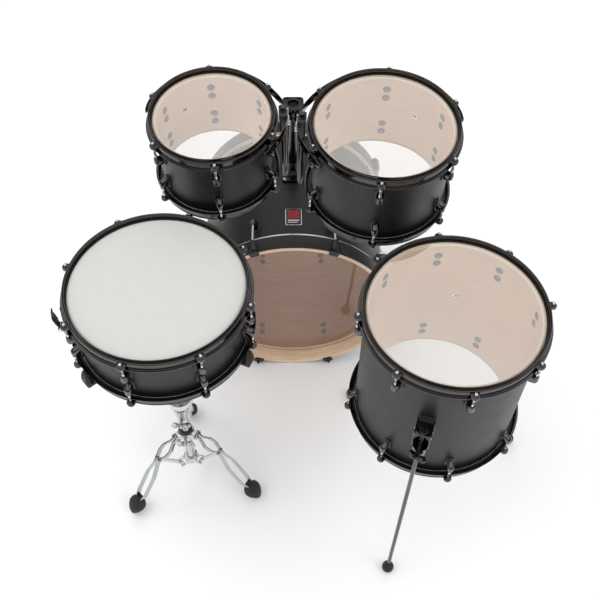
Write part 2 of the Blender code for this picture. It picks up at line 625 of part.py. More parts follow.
def strainer(kit, drum):
    """Throw-off with its lever and tension knob, and the butt plate opposite."""
    r = drum.radius + 0.0006
    wide, out, high = STRAINER
    side = drum.matrix @ radial(STRAINER_SIDE)
    low = -STRAINER_TOP - high
    body = boxes("body", [(Matrix(), (r, -wide / 2, low), (r + out, wide / 2, -STRAINER_TOP))])
    kit.add("strainer_body", body, "dark_chrome", None, side)
    pivot = side @ Matrix.Translation((r + out + 0.006, 0, low + 0.010))
    hub = cylinder("hub", 0.0055, -LEVER_WIDE / 2, LEVER_WIDE / 2, 10)
    hub.transform(Matrix.Rotation(math.radians(90), 4, "X"))
    lever = kit.add("strainer_lever", hub, "black", None, pivot)
    paddle = boxes("paddle", [(Matrix.Rotation(math.radians(8), 4, "Y"), (-0.001, -LEVER_WIDE / 2, 0.0),
                               (-0.001 + LEVER_THICK, LEVER_WIDE / 2, LEVER_LONG))])
    combine(kit, lever, "UNION", paddle)
    knob = cylinder("knob", KNOB_RADIUS, GAP, KNOB_HIGH, 12)
    kit.add("strainer_knob", knob, "chrome", None, side @ Matrix.Translation((r + out / 2, 0, -STRAINER_TOP)))
    wide, out, high = BUTT
    plate = boxes("butt", [(Matrix(), (r, -wide / 2, -BUTT_TOP - high), (r + out, wide / 2, -BUTT_TOP))])
    kit.add("butt_plate", plate, "dark_chrome", None, drum.matrix @ radial(BUTT_SIDE))


def snare_wires(kit, drum):
    """Wire strands under the resonant head with a strap out of each gate."""
    r, under = drum.radius, -drum.depth - GAP
    long = r * 0.82
    frame = radial(BUTT_SIDE)
    strands = boxes("strands", [(frame, (-long, -WIRE_WIDE / 2, under - WIRE_HIGH), (long, WIRE_WIDE / 2, under))])
    wires = drum.add("wires", strands, "steel_wire")
    half, up = STRAP_WIDE / 2, under + 0.024
    turn_in, turn_out = r + FLESH_OUT + 0.0010, r + FLESH_OUT + 0.0010 + STRAP_THICK
    flat = [(frame, (sign_low, -half, under - STRAP_THICK), (sign_high, half, under))
            for sign_low, sign_high in ((long - 0.004, turn_out), (-turn_out, -long + 0.004))]
    raised = [(frame, (low, -half, under - STRAP_THICK / 2), (high, half, up))
              for low, high in ((turn_in, turn_out), (-turn_out, -turn_in))]
    combine(kit, wires, "UNION", boxes("straps", flat), boxes("ends", raised))


def stand_strip(points, side):
    """One flat strip of a double-braced leg, bowed sideways; points are (reach, height, sideways)."""
    sections = []
    for k, (reach, height, sideways) in enumerate(points):
        before, after = points[max(k - 1, 0)], points[min(k + 1, len(points) - 1)]
        run = Vector((after[0] - before[0], after[1] - before[1])).normalized()
        up = Vector((-run.y, run.x)) * STRIP_DEEP / 2
        inner, outer = side * (sideways - STRIP_THICK / 2), side * (sideways + STRIP_THICK / 2)
        sections.append([(reach - up.x, inner, height - up.y), (reach - up.x, outer, height - up.y),
                         (reach + up.x, outer, height + up.y), (reach + up.x, inner, height + up.y)])
    return loft("strip", sections)


def stand_leg(kit, name, matrix):
    """Two bowed strips from the pivot past the strut's crossing to a rubber foot."""
    start, cross = Vector((PIVOT_REACH, HUB_HIGH)), Vector((CROSS_REACH, CROSS_HIGH))
    end = Vector((FOOT_REACH - 0.006, 0.032))
    stations = [(start.lerp(cross, t), w) for t, w in
                ((0.0, STRIP_PINCH - 0.001), (0.20, STRIP_PINCH - 0.001), (0.48, STRIP_BOW), (0.72, STRIP_BOW),
                 (1.0, STRIP_PINCH))]
    stations += [(cross.lerp(end, t), w) for t, w in
                 ((0.10, STRIP_PINCH), (0.34, STRIP_BOW), (0.74, STRIP_BOW), (1.0, STRIP_PINCH))]
    points = [(p.x, p.y, w) for p, w in stations]
    pivot = Matrix.Translation((PIVOT_REACH, 0, HUB_HIGH))
    half = STRIP_PINCH - 0.001
    top = cylinder("top", STRIP_DEEP / 2, -half, half, 10)
    top.transform(Matrix.Rotation(math.radians(90), 4, "X"))
    leg = kit.add(name, top, "chrome", None, matrix @ pivot)
    foot = turned("foot", [(0, 0.048), (0.011, 0.048), (0.021, 0.032), (0.024, 0.014), (0.016, 0), (0, 0)], 10)
    foot.transform(Matrix.Translation((FOOT_REACH, 0, 0)))
    meshes = [stand_strip(points, side) for side in (-1, 1)] + [foot]
    for mesh in meshes:
        mesh.transform(pivot.inverted())
    combine(kit, leg, "UNION", *meshes)


def stand_strut(kit, name, matrix):
    """Flat link from the lower hub to the crossing of a leg."""
    start, cross = Vector((PIVOT_REACH, 0, HUB_LOW)), Vector((CROSS_REACH, 0, CROSS_HIGH))
    run = (cross - start)
    link = boxes("link", [(Matrix(), (-0.004, -TAB_HALF, -0.006), (0.004, TAB_HALF, run.length + 0.006))])
    kit.add(name, link, "chrome", None, matrix @ along(start, run))


def hub_cheeks(height):
    """Pairs of cheeks that hold three pivots round a hub."""
    inner, outer = STRIP_PINCH + STRIP_THICK / 2 + GAP, STRIP_PINCH + STRIP_THICK / 2 + GAP + CHEEK_THICK
    placed = []
    for k in range(3):
        for low, high in ((inner, outer), (-outer, -inner)):
            placed.append((radial(FOOT_BEARING + 120 * k), (HUB_RADIUS - 0.006, low, height - 0.008),
                           (PIVOT_REACH + 0.008, high, height + 0.008)))
    return placed


def snare_stand(kit, drum):
    """Tripod with a sliding leg hub, two tubes, tilter and basket."""
    foot = Vector((*drum.matrix.translation.xy, 0))
    ground = Matrix.Translation(foot)
    bore = rod_hole(STAND_RADIUS)

    tube = cylinder("tube", STAND_RADIUS, TUBE_LOW, TUBE_TOP, 16)
    base = kit.add("stand_base_tube", tube, "chrome", None, ground)
    lower = cylinder("lower_hub", HUB_RADIUS, HUB_LOW - HUB_TALL / 2, HUB_LOW + HUB_TALL / 2, 16)
    neck = turned("neck", [(0, TUBE_TOP + NECK_HIGH), (NECK_RADIUS - 0.004, TUBE_TOP + NECK_HIGH),
                           (NECK_RADIUS, TUBE_TOP + NECK_HIGH - 0.012), (0.020, TUBE_TOP + 0.006),
                           (0.018, TUBE_TOP - 0.020), (0, TUBE_TOP - 0.020)], 16)
    combine(kit, base, "UNION", lower, boxes("cheeks", hub_cheeks(HUB_LOW)), neck)
    upper_bore = cylinder("upper_bore", rod_hole(UPPER_RADIUS), UPPER_BORE_LOW, TUBE_TOP + NECK_HIGH + 0.01, 12)
    combine(kit, base, "DIFFERENCE", upper_bore)

    hub = cylinder("hub", HUB_RADIUS + 0.002, HUB_HIGH - HUB_TALL / 2, HUB_HIGH + HUB_TALL / 2, 16)
    hub = kit.add("stand_leg_hub", hub, "chrome", None, ground)
    combine(kit, hub, "UNION", boxes("cheeks", hub_cheeks(HUB_HIGH)))
    combine(kit, hub, "DIFFERENCE", cylinder("bore", bore, HUB_HIGH - 0.02, HUB_HIGH + 0.02, 16))

    for k in range(3):
        turn = ground @ radial(FOOT_BEARING + 120 * k)
        stand_leg(kit, "stand_leg_%d" % (k + 1), turn)
        stand_strut(kit, "stand_strut_%d" % (k + 1), turn)

    facing = (0, -1, 0)
    at_hub = foot + Vector((0, -HUB_RADIUS - 0.002 - GAP, HUB_HIGH))
    wing_bolt(kit, "stand_hub_wing_bolt", along(at_hub, facing), 0.014, 0.030)
    at_neck = foot + Vector((0, -0.0233, TUBE_TOP + 0.020))
    wing_bolt(kit, "stand_height_wing_bolt", along(at_neck, facing), 0.016, 0.040)

    r = drum.radius
    bottom = drum.matrix.translation.z - drum.depth - RIM_HIGH
    tilt_z = bottom - TILTER_DROP
    upper = cylinder("upper", UPPER_RADIUS, UPPER_LOW, tilt_z - 0.0150, 12)
    kit.add("stand_upper_tube", upper, "chrome", None, ground)
    basket(kit, ground, r, bottom, tilt_z)


def basket(kit, ground, r, bottom, tilt_z):
    """Tilting hub with three arms whose rubber grips hold the snare's bottom hoop."""
    frame = ground @ Matrix.Translation((0, 0, tilt_z))
    hub = turned("hub", [(0, 0.044), (0.016, 0.044), (0.022, 0.030), (0.022, 0.004), (0.005, -0.0134),
                         (0, -0.0134)], 16)
    made = kit.add("stand_basket", hub, "chrome", None, frame)
    seat = bottom - tilt_z - GAP
    half = GRIP_WIDE / 2
    hoop_out = r + LIP_OUT + 0.0008
    for bearing in BASKET_BEARINGS:
        start = polar(0.010, bearing, 0.030)
        knee = polar(r - 0.020, bearing, seat - 0.014)
        end = polar(r + 0.010, bearing, seat - 0.006)
        arm = bar(kit, "arm", [start, knee, end], 0.0055)
        pad = boxes("pad", [(radial(bearing), (r - 0.012, -half, seat - 0.012), (hoop_out + GRIP_WALL, half, seat))])
        wall = boxes("wall", [(radial(bearing), (hoop_out, -half + 0.001, seat - 0.010),
                               (hoop_out + GRIP_WALL - 0.001, half - 0.001, seat + GRIP_HIGH))])
        combine(kit, made, "UNION", arm, pad, wall)


def snare_drum(kit, tom):
    place = Vector((*beside(tom, SNARE_BEARING, SNARE_DIAMETER / 2, SNARE_CLEAR), SNARE_HEAD_Z))
    drum = Drum(kit, "snare", SNARE_DIAMETER, SNARE_DEPTH, SNARE_LUGS, SNARE_PHASE, Matrix.Translation(place))
    round_drum(drum, "coated_film", 0.028, 0.036, (STRAINER_SIDE, BUTT_SIDE))
    strainer(kit, drum)
    snare_wires(kit, drum)
    snare_stand(kit, drum)
    return drum


def centre_on_floor(kit):
    """Put the middle of the whole kit's box, at floor level, at the origin."""
    bpy.context.view_layer.update()
    graph = bpy.context.evaluated_depsgraph_get()
    low, high = Vector((9, 9, 9)), Vector((-9, -9, -9))
    for piece in kit.parts.objects:
        if piece.type != "MESH":
            continue
        done = piece.evaluated_get(graph)
        for vertex in done.data.vertices:
            point = done.matrix_world @ vertex.co
            low = Vector(map(min, low, point))
            high = Vector(map(max, high, point))
    middle = (low + high) / 2
    kit.origin.location = (-middle.x, -middle.y, -low.z)


def main():
    kit = Kit()
    bass = bass_drum(kit)
    spur(kit, bass, "spur_right", False)
    spur(kit, bass, "spur_left", True)
    small, large = rack_toms(kit, bass)
    floor_tom(kit, large)
    snare_drum(kit, small)
    centre_on_floor(kit)


main()
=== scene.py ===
import json
import math

import bmesh
import bpy
from mathutils import Matrix, Vector


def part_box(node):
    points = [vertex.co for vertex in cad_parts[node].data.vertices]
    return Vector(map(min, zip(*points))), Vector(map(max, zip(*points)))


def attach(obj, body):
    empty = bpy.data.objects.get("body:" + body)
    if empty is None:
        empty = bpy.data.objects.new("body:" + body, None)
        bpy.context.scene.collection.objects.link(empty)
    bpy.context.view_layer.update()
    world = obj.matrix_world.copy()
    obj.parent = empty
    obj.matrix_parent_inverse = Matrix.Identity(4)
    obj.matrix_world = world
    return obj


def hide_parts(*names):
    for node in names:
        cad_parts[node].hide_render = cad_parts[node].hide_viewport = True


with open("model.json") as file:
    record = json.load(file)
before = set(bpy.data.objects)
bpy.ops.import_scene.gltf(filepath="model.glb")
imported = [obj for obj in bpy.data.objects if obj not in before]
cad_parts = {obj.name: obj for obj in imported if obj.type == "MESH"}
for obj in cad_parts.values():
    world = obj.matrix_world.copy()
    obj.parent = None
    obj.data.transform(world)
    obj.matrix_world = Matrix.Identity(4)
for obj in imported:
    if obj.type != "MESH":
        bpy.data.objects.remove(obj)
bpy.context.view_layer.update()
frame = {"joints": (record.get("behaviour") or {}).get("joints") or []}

INCH = 0.0254
FINE = 96                    # sides of the big rings
ROD_OFFSET = 0.0170          # tension rods outside the shell's radius
BASS_ROD_OFFSET = 0.0225
HOOP_PROUD = 0.035           # wood hoops in front of the bass heads


# ---------------------------------------------------------------- outlines and shapes

def circle(radius, count=24):
    return [Vector((radius * math.cos(math.tau * k / count), radius * math.sin(math.tau * k / count)))
            for k in range(count)]


def oval(wide, high, count=32, power=2.4):
    """Squarish ellipse outline."""
    points = []
    for k in range(count):
        c, s = math.cos(math.tau * k / count), math.sin(math.tau * k / count)
        points.append(Vector((wide / 2 * math.copysign(abs(c) ** (2 / power), c),
                              high / 2 * math.copysign(abs(s) ** (2 / power), s))))
    return points


def squarish(wide, high, count=48, power=6.0):
    """Rounded rectangle whose points lie at even bearings."""
    points = []
    for k in range(count):
        c, s = math.cos(math.tau * k / count), math.sin(math.tau * k / count)
        reach = (abs(2 * c / wide) ** power + abs(2 * s / high) ** power) ** (-1 / power)
        points.append(Vector((reach * c, reach * s)))
    return points


def soften(points, radius, steps=4, closed=False):
    """The same line with its corners rounded."""
    points = [Vector(p) for p in points]
    done = []
    last = len(points) - 1
    for k, here in enumerate(points):
        if not closed and k in (0, last):
            done.append(here)
            continue
        before, after = points[k - 1], points[(k + 1) % len(points)]
        a, b = before - here, after - here
        if a.length < 1e-9 or b.length < 1e-9 or a.angle(b) > math.pi - 0.01:
            done.append(here)
            continue
        half = a.angle(b) / 2
        reach = min(radius / math.tan(half), 0.48 * a.length, 0.48 * b.length)
        start, end = here + a.normalized() * reach, here + b.normalized() * reach
        for j in range(steps + 1):
            t = j / steps
            done.append(start * (1 - t) ** 2 + here * 2 * t * (1 - t) + end * t * t)
    return done


def plate(path, thick, radius=0.0015, steps=4):
    """Closed outline of a bent plate of one thickness along a line."""
    line = soften(path, radius, steps)
    left, right = [], []
    for k, p in enumerate(line):
        run = (line[min(k + 1, len(line) - 1)] - line[max(k - 1, 0)]).normalized()
        side = Vector((-run.y, run.x)) * thick / 2
        left.append(p + side)
        right.append(p - side)
    ends = [(line[0] - line[1]).normalized() * thick * 0.3, (line[-1] - line[-2]).normalized() * thick * 0.3]
    return (left + [line[-1] + ends[1] + (left[-1] - line[-1]) * 0.5,
                    line[-1] + ends[1] + (right[-1] - line[-1]) * 0.5]
            + right[::-1] + [line[0] + ends[0] + (right[0] - line[0]) * 0.5,
                             line[0] + ends[0] + (left[0] - line[0]) * 0.5])


def box_outline(x0, x1, y0, y1, radius=0.001, steps=3):
    return soften([(x0, y0), (x1, y0), (x1, y1), (x0, y1)], radius, steps, True)


def polar(radius, degrees, height=0.0):
    turn = math.radians(degrees)
    return Vector((radius * math.cos(turn), radius * math.sin(turn), height))


def radial(degrees, centre=Vector()):
    """Frame at a bearing: local X points outwards, Z stays up."""
    return Matrix.Translation(centre) @ Matrix.Rotation(math.radians(degrees), 4, "Z")


def along(start, direction, up=None):
    """Frame at a point whose local Z runs along a direction, and X sideways to up when up is given."""
    axis = Vector(direction).normalized()
    if up is None:
        return Matrix.Translation(start) @ Vector((0, 0, 1)).rotation_difference(axis).to_matrix().to_4x4()
    across = Vector(up).cross(axis).normalized()
    return Matrix.Translation(start) @ Matrix((across, axis.cross(across), axis)).transposed().to_4x4()


def move(x=0.0, y=0.0, z=0.0):
    return Matrix.Translation((x, y, z))


class Shape:
    """Closed forms gathered into one mesh; each face keeps the number of its finish."""

    def __init__(self):
        self.points, self.faces, self.paints = [], [], []

    def loft(self, rings, paint=0, matrix=None, looped=False, across=None):
        """Skin through rings of equally many points, capped at both ends unless looped."""
        base, count = len(self.points), len(rings[0])
        for one in rings:
            for p in one:
                p = Vector(p) if len(p) == 3 else Vector((p[0], p[1], 0))
                self.points.append(matrix @ p if matrix else p)
        total = len(rings)
        for k in range(total if looped else total - 1):
            a, b = base + k * count, base + (k + 1) % total * count
            for i in range(count):
                j = (i + 1) % count
                self.faces.append((a + i, a + j, b + j, b + i))
                self.paints.append(across[i] if across else paint)
        if not looped:
            self.faces.append(tuple(range(base, base + count)))
            self.faces.append(tuple(range(base + (total - 1) * count, base + total * count)))
            self.paints += [paint, paint]
        return self

    def annulus(self, outline, matrix=None, paint=0, across=None, sides=FINE):
        """Closed (radius, height) outline turned right round the axis."""
        rings = []
        for k in range(sides):
            c, s = math.cos(math.tau * k / sides), math.sin(math.tau * k / sides)
            rings.append([Vector((p[0] * c, p[0] * s, p[1])) for p in outline])
        return self.loft(rings, paint, matrix, True, across)

    def turned(self, profile, matrix=None, paint=0, sides=24):
        """Solid of circles (radius, height), closed by flat caps."""
        rings = [[Vector((p.x, p.y, high)) for p in circle(radius, sides)] for radius, high in profile]
        return self.loft(rings, paint, matrix)

    def sweep(self, points, outline, up=None, paint=0, matrix=None, scales=None):
        """An outline carried along a line in space; up holds its second axis."""
        points = [Vector(p) for p in points]
        rings = []
        lift = Vector(up) if up else None
        for k, p in enumerate(points):
            run = (points[min(k + 1, len(points) - 1)] - points[max(k - 1, 0)]).normalized()
            if lift is None:
                lift = Vector((0, 0, 1)) if abs(run.z) < 0.9 else Vector((1, 0, 0))
            side = run.cross(lift).normalized()
            rise = side.cross(run)
            if not up:
                lift = rise
            size = scales[k] if scales else 1.0
            rings.append([p + side * q[0] * size + rise * q[1] * size for q in outline])
        return self.loft(rings, paint, matrix)

    def tube(self, points, radius, paint=0, matrix=None, sides=20, lip=0.0008):
        """Round bar along a line with softly broken ends."""
        points = [Vector(p) for p in points]
        first, last = (points[1] - points[0]).normalized(), (points[-2] - points[-1]).normalized()
        line = [points[0], points[0] + first * lip] + points[1:-1] + [points[-1] + last * lip, points[-1]]
        scales = [1 - lip / radius, 1.0] + [1.0] * (len(points) - 2) + [1.0, 1 - lip / radius]
        return self.sweep(line, circle(radius, sides), None, paint, matrix, scales)

    def block(self, low, high, corner=0.002, edge=0.0008, paint=0, matrix=None, steps=3):
        """Box with rounded uprights and softly broken top and bottom edges."""
        rings = []
        levels = [(low[2], edge), (low[2] + 0.3 * edge, 0.3 * edge), (low[2] + edge, 0.0),
                  (high[2] - edge, 0.0), (high[2] - 0.3 * edge, 0.3 * edge), (high[2], edge)]
        for z, inset in levels:
            outline = box_outline(low[0] + inset, high[0] - inset, low[1] + inset, high[1] - inset,
                                  max(corner - inset * 0.5, 0.0002), steps)
            rings.append([Vector((p.x, p.y, z)) for p in outline])
        return self.loft(rings, paint, matrix)

    def screw(self, matrix, radius=0.0040, high=0.0024, paint=0, slot_paint=None):
        """Domed screw head standing on local Z, with a washer under it."""
        self.turned([(radius * 1.35, 0), (radius * 1.35, high * 0.30), (radius * 1.25, high * 0.36)],
                    matrix, paint, 20)
        self.turned([(radius, high * 0.3), (radius, high * 0.6), (radius * 0.8, high * 0.9),
                     (radius * 0.4, high),
                     ], matrix, paint, 20)
        if slot_paint is not None:
            for turn in (0, 90):
                spin = matrix @ Matrix.Rotation(math.radians(turn), 4, "Z")
                self.block((-radius * 0.55, -radius * 0.10, high * 0.8),
                           (radius * 0.55, radius * 0.10, high * 1.03),
                           0.0001, 0.0001, slot_paint, spin, 1)
        return self

    def add(self, other, matrix=None, shift=0):
        base = len(self.points)
        self.points += [matrix @ p for p in other.points] if matrix else other.points
        self.faces += [tuple(base + i for i in face) for face in other.faces]
        self.paints += [p + shift for p in other.paints]
        return self


def piece(name, shape, finishes, body, hides=(), crease=32):
    """Mesh object from a shape that rides a body and stands for CAD nodes."""
    bm = bmesh.new()
    made = [bm.verts.new(p) for p in shape.points]
    for face, paint in zip(shape.faces, shape.paints):
        bm.faces.new([made[i] for i in face]).material_index = paint
    bmesh.ops.recalc_face_normals(bm, faces=bm.faces)
    mesh = bpy.data.meshes.new(name)
    bm.to_mesh(mesh)
    bm.free()
    for finish in finishes if isinstance(finishes, (list, tuple)) else [finishes]:
        mesh.materials.append(finish)
    mesh.shade_smooth()
    mesh.set_sharp_from_angle(angle=math.radians(crease))
    made = bpy.data.objects.new(name, mesh)
    bpy.context.scene.collection.objects.link(made)
    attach(made, body)
    if hides:
        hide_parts(*([hides] if isinstance(hides, str) else hides))
    return made


# ---------------------------------------------------------------- finishes

def nodes_of(name):
    made = bpy.data.materials.new(name)
    made.use_nodes = True
    tree = made.node_tree
    return made, tree, tree.nodes["Principled BSDF"]


def noise(tree, scale, detail=3.0, stretch=(1, 1, 1)):
    """Noise in the object's own space, stretched along an axis."""
    where = tree.nodes.new("ShaderNodeTexCoord")
    spread = tree.nodes.new("ShaderNodeMapping")
    spread.inputs["Scale"].default_value = stretch
    made = tree.nodes.new("ShaderNodeTexNoise")
    made.inputs["Scale"].default_value = scale
    made.inputs["Detail"].default_value = detail
    tree.links.new(where.outputs["Object"], spread.inputs["Vector"])
    tree.links.new(spread.outputs["Vector"], made.inputs["Vector"])
    return made


def ranged(tree, source, low, high):
    made = tree.nodes.new("ShaderNodeMapRange")
    made.inputs["From Min"].default_value = 0.3
    made.inputs["From Max"].default_value = 0.7
    made.inputs["To Min"].default_value = low
    made.inputs["To Max"].default_value = high
    tree.links.new(source, made.inputs["Value"])
    return made.outputs["Result"]


def blended(tree, source, first, second, low=0.35, high=0.65):
    ramp = tree.nodes.new("ShaderNodeValToRGB")
    ramp.color_ramp.elements[0].position = low
    ramp.color_ramp.elements[1].position = high
    ramp.color_ramp.elements[0].color = (*first, 1)
    ramp.color_ramp.elements[1].color = (*second, 1)
    tree.links.new(source, ramp.inputs["Fac"])
    return ramp.outputs["Color"]


def bump(tree, shader, source, strength, distance):
    made = tree.nodes.new("ShaderNodeBump")
    made.inputs["Strength"].default_value = strength
    made.inputs["Distance"].default_value = distance
    tree.links.new(source, made.inputs["Height"])
    tree.links.new(made.outputs["Normal"], shader.inputs["Normal"])


def finish(name, colour, rough, metal=0.0, vary=0.15, scale=60.0, relief=0.0, coat=0.0, shade=0.12):
    """Plain finish whose colour and roughness drift a little over the surface."""
    made, tree, shader = nodes_of(name)
    drift = noise(tree, scale)
    darker = tuple(c * (1 - shade) for c in colour)
    tree.links.new(blended(tree, drift.outputs["Fac"], darker, colour), shader.inputs["Base Color"])
    tree.links.new(ranged(tree, drift.outputs["Fac"], rough * (1 - vary), rough * (1 + vary)),
                   shader.inputs["Roughness"])
    shader.inputs["Metallic"].default_value = metal
    shader.inputs["Coat Weight"].default_value = coat
    shader.inputs["Coat Roughness"].default_value = 0.12
    if relief:
        grain = noise(tree, scale * 12, 2.0)
        bump(tree, shader, grain.outputs["Fac"], 0.35, relief)
    return made


def wood(name, light, dark, rough=0.42, stretch=(3, 3, 40), scale=6.0):
    """Maple: pale ground with soft streaks along the grain and fine pores."""
    made, tree, shader = nodes_of(name)
    streak = noise(tree, scale, 6.0, stretch)
    colour = blended(tree, streak.outputs["Fac"], dark, light, 0.32, 0.62)
    cloud = noise(tree, 9.0, 2.0)
    tone = tree.nodes.new("ShaderNodeMix")
    tone.data_type = "RGBA"
    tone.blend_type = "MULTIPLY"
    tree.links.new(ranged(tree, cloud.outputs["Fac"], 0.10, 0.45), tone.inputs["Factor"])
    tree.links.new(colour, tone.inputs[6])
    tone.inputs[7].default_value = (0.90, 0.86, 0.80, 1)
    tree.links.new(tone.outputs[2], shader.inputs["Base Color"])
    shader.inputs["Roughness"].default_value = rough
    shader.inputs["Coat Weight"].default_value = 0.15
    shader.inputs["Coat Roughness"].default_value = 0.25
    bump(tree, shader, streak.outputs["Fac"], 0.15, 0.0003)
    return made


def film(name, veil, tint, tint_share, gloss):
    """Clear film: mostly open, a thin veil of its own colour, and a mirror sheen at its face."""
    made, tree, shader = nodes_of(name)
    out = tree.nodes["Material Output"]
    shader.inputs["Base Color"].default_value = (*tint, 1)
    shader.inputs["Roughness"].default_value = 0.35
    drift = noise(tree, 14.0, 2.0)
    tree.links.new(blended(tree, drift.outputs["Fac"], tuple(c * 0.97 for c in tint), tint),
                   shader.inputs["Base Color"])
    clear = tree.nodes.new("ShaderNodeBsdfTransparent")
    clear.inputs["Color"].default_value = (*veil, 1)
    body = tree.nodes.new("ShaderNodeMixShader")
    body.inputs["Fac"].default_value = tint_share
    tree.links.new(clear.outputs["BSDF"], body.inputs[1])
    tree.links.new(shader.outputs["BSDF"], body.inputs[2])
    sheen = tree.nodes.new("ShaderNodeBsdfPrincipled")
    sheen.inputs["Base Color"].default_value = (1, 1, 1, 1)
    sheen.inputs["Metallic"].default_value = 1.0
    sheen.inputs["Roughness"].default_value = 0.04
    edge = tree.nodes.new("ShaderNodeFresnel")
    side = tree.nodes.new("ShaderNodeNewGeometry")
    index = tree.nodes.new("ShaderNodeMath")
    index.operation = "MULTIPLY_ADD"
    index.inputs[1].default_value = 1 / gloss - gloss
    index.inputs[2].default_value = gloss
    tree.links.new(side.outputs["Backfacing"], index.inputs[0])
    tree.links.new(index.outputs["Value"], edge.inputs["IOR"])
    final = tree.nodes.new("ShaderNodeMixShader")
    tree.links.new(edge.outputs["Fac"], final.inputs["Fac"])
    tree.links.new(body.outputs["Shader"], final.inputs[1])
    tree.links.new(sheen.outputs["BSDF"], final.inputs[2])
    tree.links.new(final.outputs["Shader"], out.inputs["Surface"])
    return made


SATIN_BLACK = finish("satin_black_shell", (0.0074, 0.0077, 0.0078), 0.44, 0.0, 0.06, 25, 0.00002, 0.0, 0.05)
MAPLE = wood("maple_shell", (0.86, 0.68, 0.52), (0.80, 0.61, 0.45))
MAPLE_EDGE = wood("maple_edge", (0.92, 0.82, 0.69), (0.84, 0.72, 0.57), 0.40)
MAPLE_BASS = wood("maple_hoop", (0.80, 0.62, 0.45), (0.68, 0.48, 0.33), 0.34, (3, 30, 3), 5.0)
MAPLE_DEEP = wood("maple_bass_shell", (0.44, 0.29, 0.215), (0.36, 0.22, 0.16), 0.45, (3, 40, 3))
DARK_CHROME = finish("black_nickel", (0.105, 0.098, 0.097), 0.12, 1.0, 0.20, 90)
DARK_BLOCK = finish("black_nickel_cast", (0.060, 0.057, 0.057), 0.20, 1.0, 0.20, 120, 0.00002)
CHROME = finish("bright_chrome", (0.70, 0.71, 0.715), 0.07, 1.0, 0.25, 70, 0.0, 0.0, 0.04)
GREY_STEEL = finish("grey_steel", (0.13, 0.135, 0.14), 0.42, 0.3, 0.2, 150)
ALUMINIUM = finish("flesh_hoop_aluminium", (0.86, 0.86, 0.85), 0.30, 1.0, 0.2, 110, 0.0, 0.0, 0.05)
BLACK_PLASTIC = finish("black_plastic", (0.022, 0.022, 0.023), 0.38, 0.0, 0.15, 90, 0.00002)
SATIN_HOOP = finish("hoop_black", (0.012, 0.012, 0.0125), 0.42, 0.0, 0.1, 40, 0.00002)
RUBBER = finish("rubber", (0.020, 0.020, 0.021), 0.70, 0.0, 0.12, 160, 0.00005)
# Near-black, rough: painted shade for holes, screw slots and gaps.
PAINTED_SHADE_HOLE = finish("painted_shade_recess", (0.006, 0.006, 0.006), 0.85, 0.0, 0.05, 50)
COATED = finish("coated_film", (0.535, 0.54, 0.505), 0.62, 0.0, 0.10, 45, 0.00006, 0.0, 0.03)
CLEAR_TOP = film("clear_film", (0.985, 0.98, 0.97), (0.93, 0.91, 0.88), 0.05, 2.20)
CLEAR_LOW = film("clear_film_under", (0.98, 0.98, 0.98), (0.92, 0.92, 0.93), 0.08, 1.40)
CLEAR_BASS = film("clear_film_bass", (0.97, 0.93, 0.90), (0.80, 0.70, 0.63), 0.03, 1.42)
LUG_METAL = finish("lug_nickel", (0.150, 0.142, 0.140), 0.16, 1.0, 0.20, 110)
STRIP_STEEL = finish("strip_chrome", (0.50, 0.525, 0.54), 0.12, 1.0, 0.25, 70, 0.0, 0.0, 0.04)
# Aluminium flesh hoop coloured near black: painted shade for the narrow gap under the steel hoop.
PAINTED_SHADE_FLESH_HOOP = finish("flesh_hoop_painted_shade", (0.030, 0.027, 0.026), 0.25, 0.6, 0.15, 110)
COLLAR = finish("collar_film", (0.62, 0.52, 0.43), 0.22, 0.0, 0.1, 60)
WIRE_STEEL = finish("steel_wire", (0.62, 0.62, 0.63), 0.25, 1.0, 0.2, 200)
STRAP = finish("strap_plastic", (0.55, 0.56, 0.56), 0.4, 0.0, 0.1, 80)
BADGE_RED = finish("badge_red", (0.27, 0.008, 0.012), 0.45, 0.0, 0.1, 80)
BADGE_WHITE = finish("badge_white", (0.80, 0.80, 0.80), 0.35, 0.0, 0.1, 80)
BADGE_BLACK = finish("badge_black", (0.012, 0.012, 0.012), 0.25, 0.0, 0.1, 80)


# ---------------------------------------------------------------- where each drum stands

def joint_axis(name):
    return Vector(next(j["axis"] for j in frame["joints"] if j["name"] == name)).normalized()


def level_frame(node):
    low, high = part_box(node)
    return Matrix.Translation(((low.x + high.x) / 2, (low.y + high.y) / 2, high.z))


def leaning_frame(node, joint):
    """Frame of a tom that leans: its axis is the one the tom swivels about."""
    low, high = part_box(node)
    normal = joint_axis(joint)
    across = (Vector((1, 0, 0)) - normal * normal.x).normalized()
    turn = Matrix((across, normal.cross(across), normal)).transposed().to_4x4()
    return Matrix.Translation((low + high) / 2 + normal * 0.0045) @ turn


def lying_frame(node):
    low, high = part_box(node)
    return (Matrix.Translation(((low.x + high.x) / 2, low.y, (low.z + high.z) / 2))
            @ Matrix.Rotation(math.radians(90), 4, "X"))


class Drum:
    """Sizes, lug bearings and frame of one drum; local +Z points out of the batter head."""

    def __init__(self, name, body, inches, depth, lugs, phase, place):
        self.name, self.body, self.radius, self.depth = name, body, inches * INCH / 2, depth * INCH
        self.bearings = [phase + 360 / lugs * k for k in range(lugs)]
        self.place = place

    def sides(self):
        """The batter side, then the resonant side turned over."""
        flip = Matrix.Translation((0, 0, -self.depth)) @ Matrix.Diagonal((1, 1, -1, 1))
        return (("batter", self.place), ("resonant", self.place @ flip))


small = Drum("small_tom", "small_tom", 10, 7, 6, 34.5, leaning_frame("small_tom_batter_head",
                                                                     "small_tom_swivel"))
large = Drum("large_tom", "large_tom", 12, 8, 6, 23.2, leaning_frame("large_tom_batter_head",
                                                                     "large_tom_swivel"))
floor_tom = Drum("floor_tom", "floor_tom", 14, 14, 8, 48.4, level_frame("floor_tom_batter_head"))
snare = Drum("snare", "snare_drum", 14, 5.5, 8, -15.6, level_frame("snare_batter_head"))
bass = Drum("bass", "kit_base", 20, 16, 8, 22.5, lying_frame("bass_batter_head"))


# ---------------------------------------------------------------- parts shared by the drums

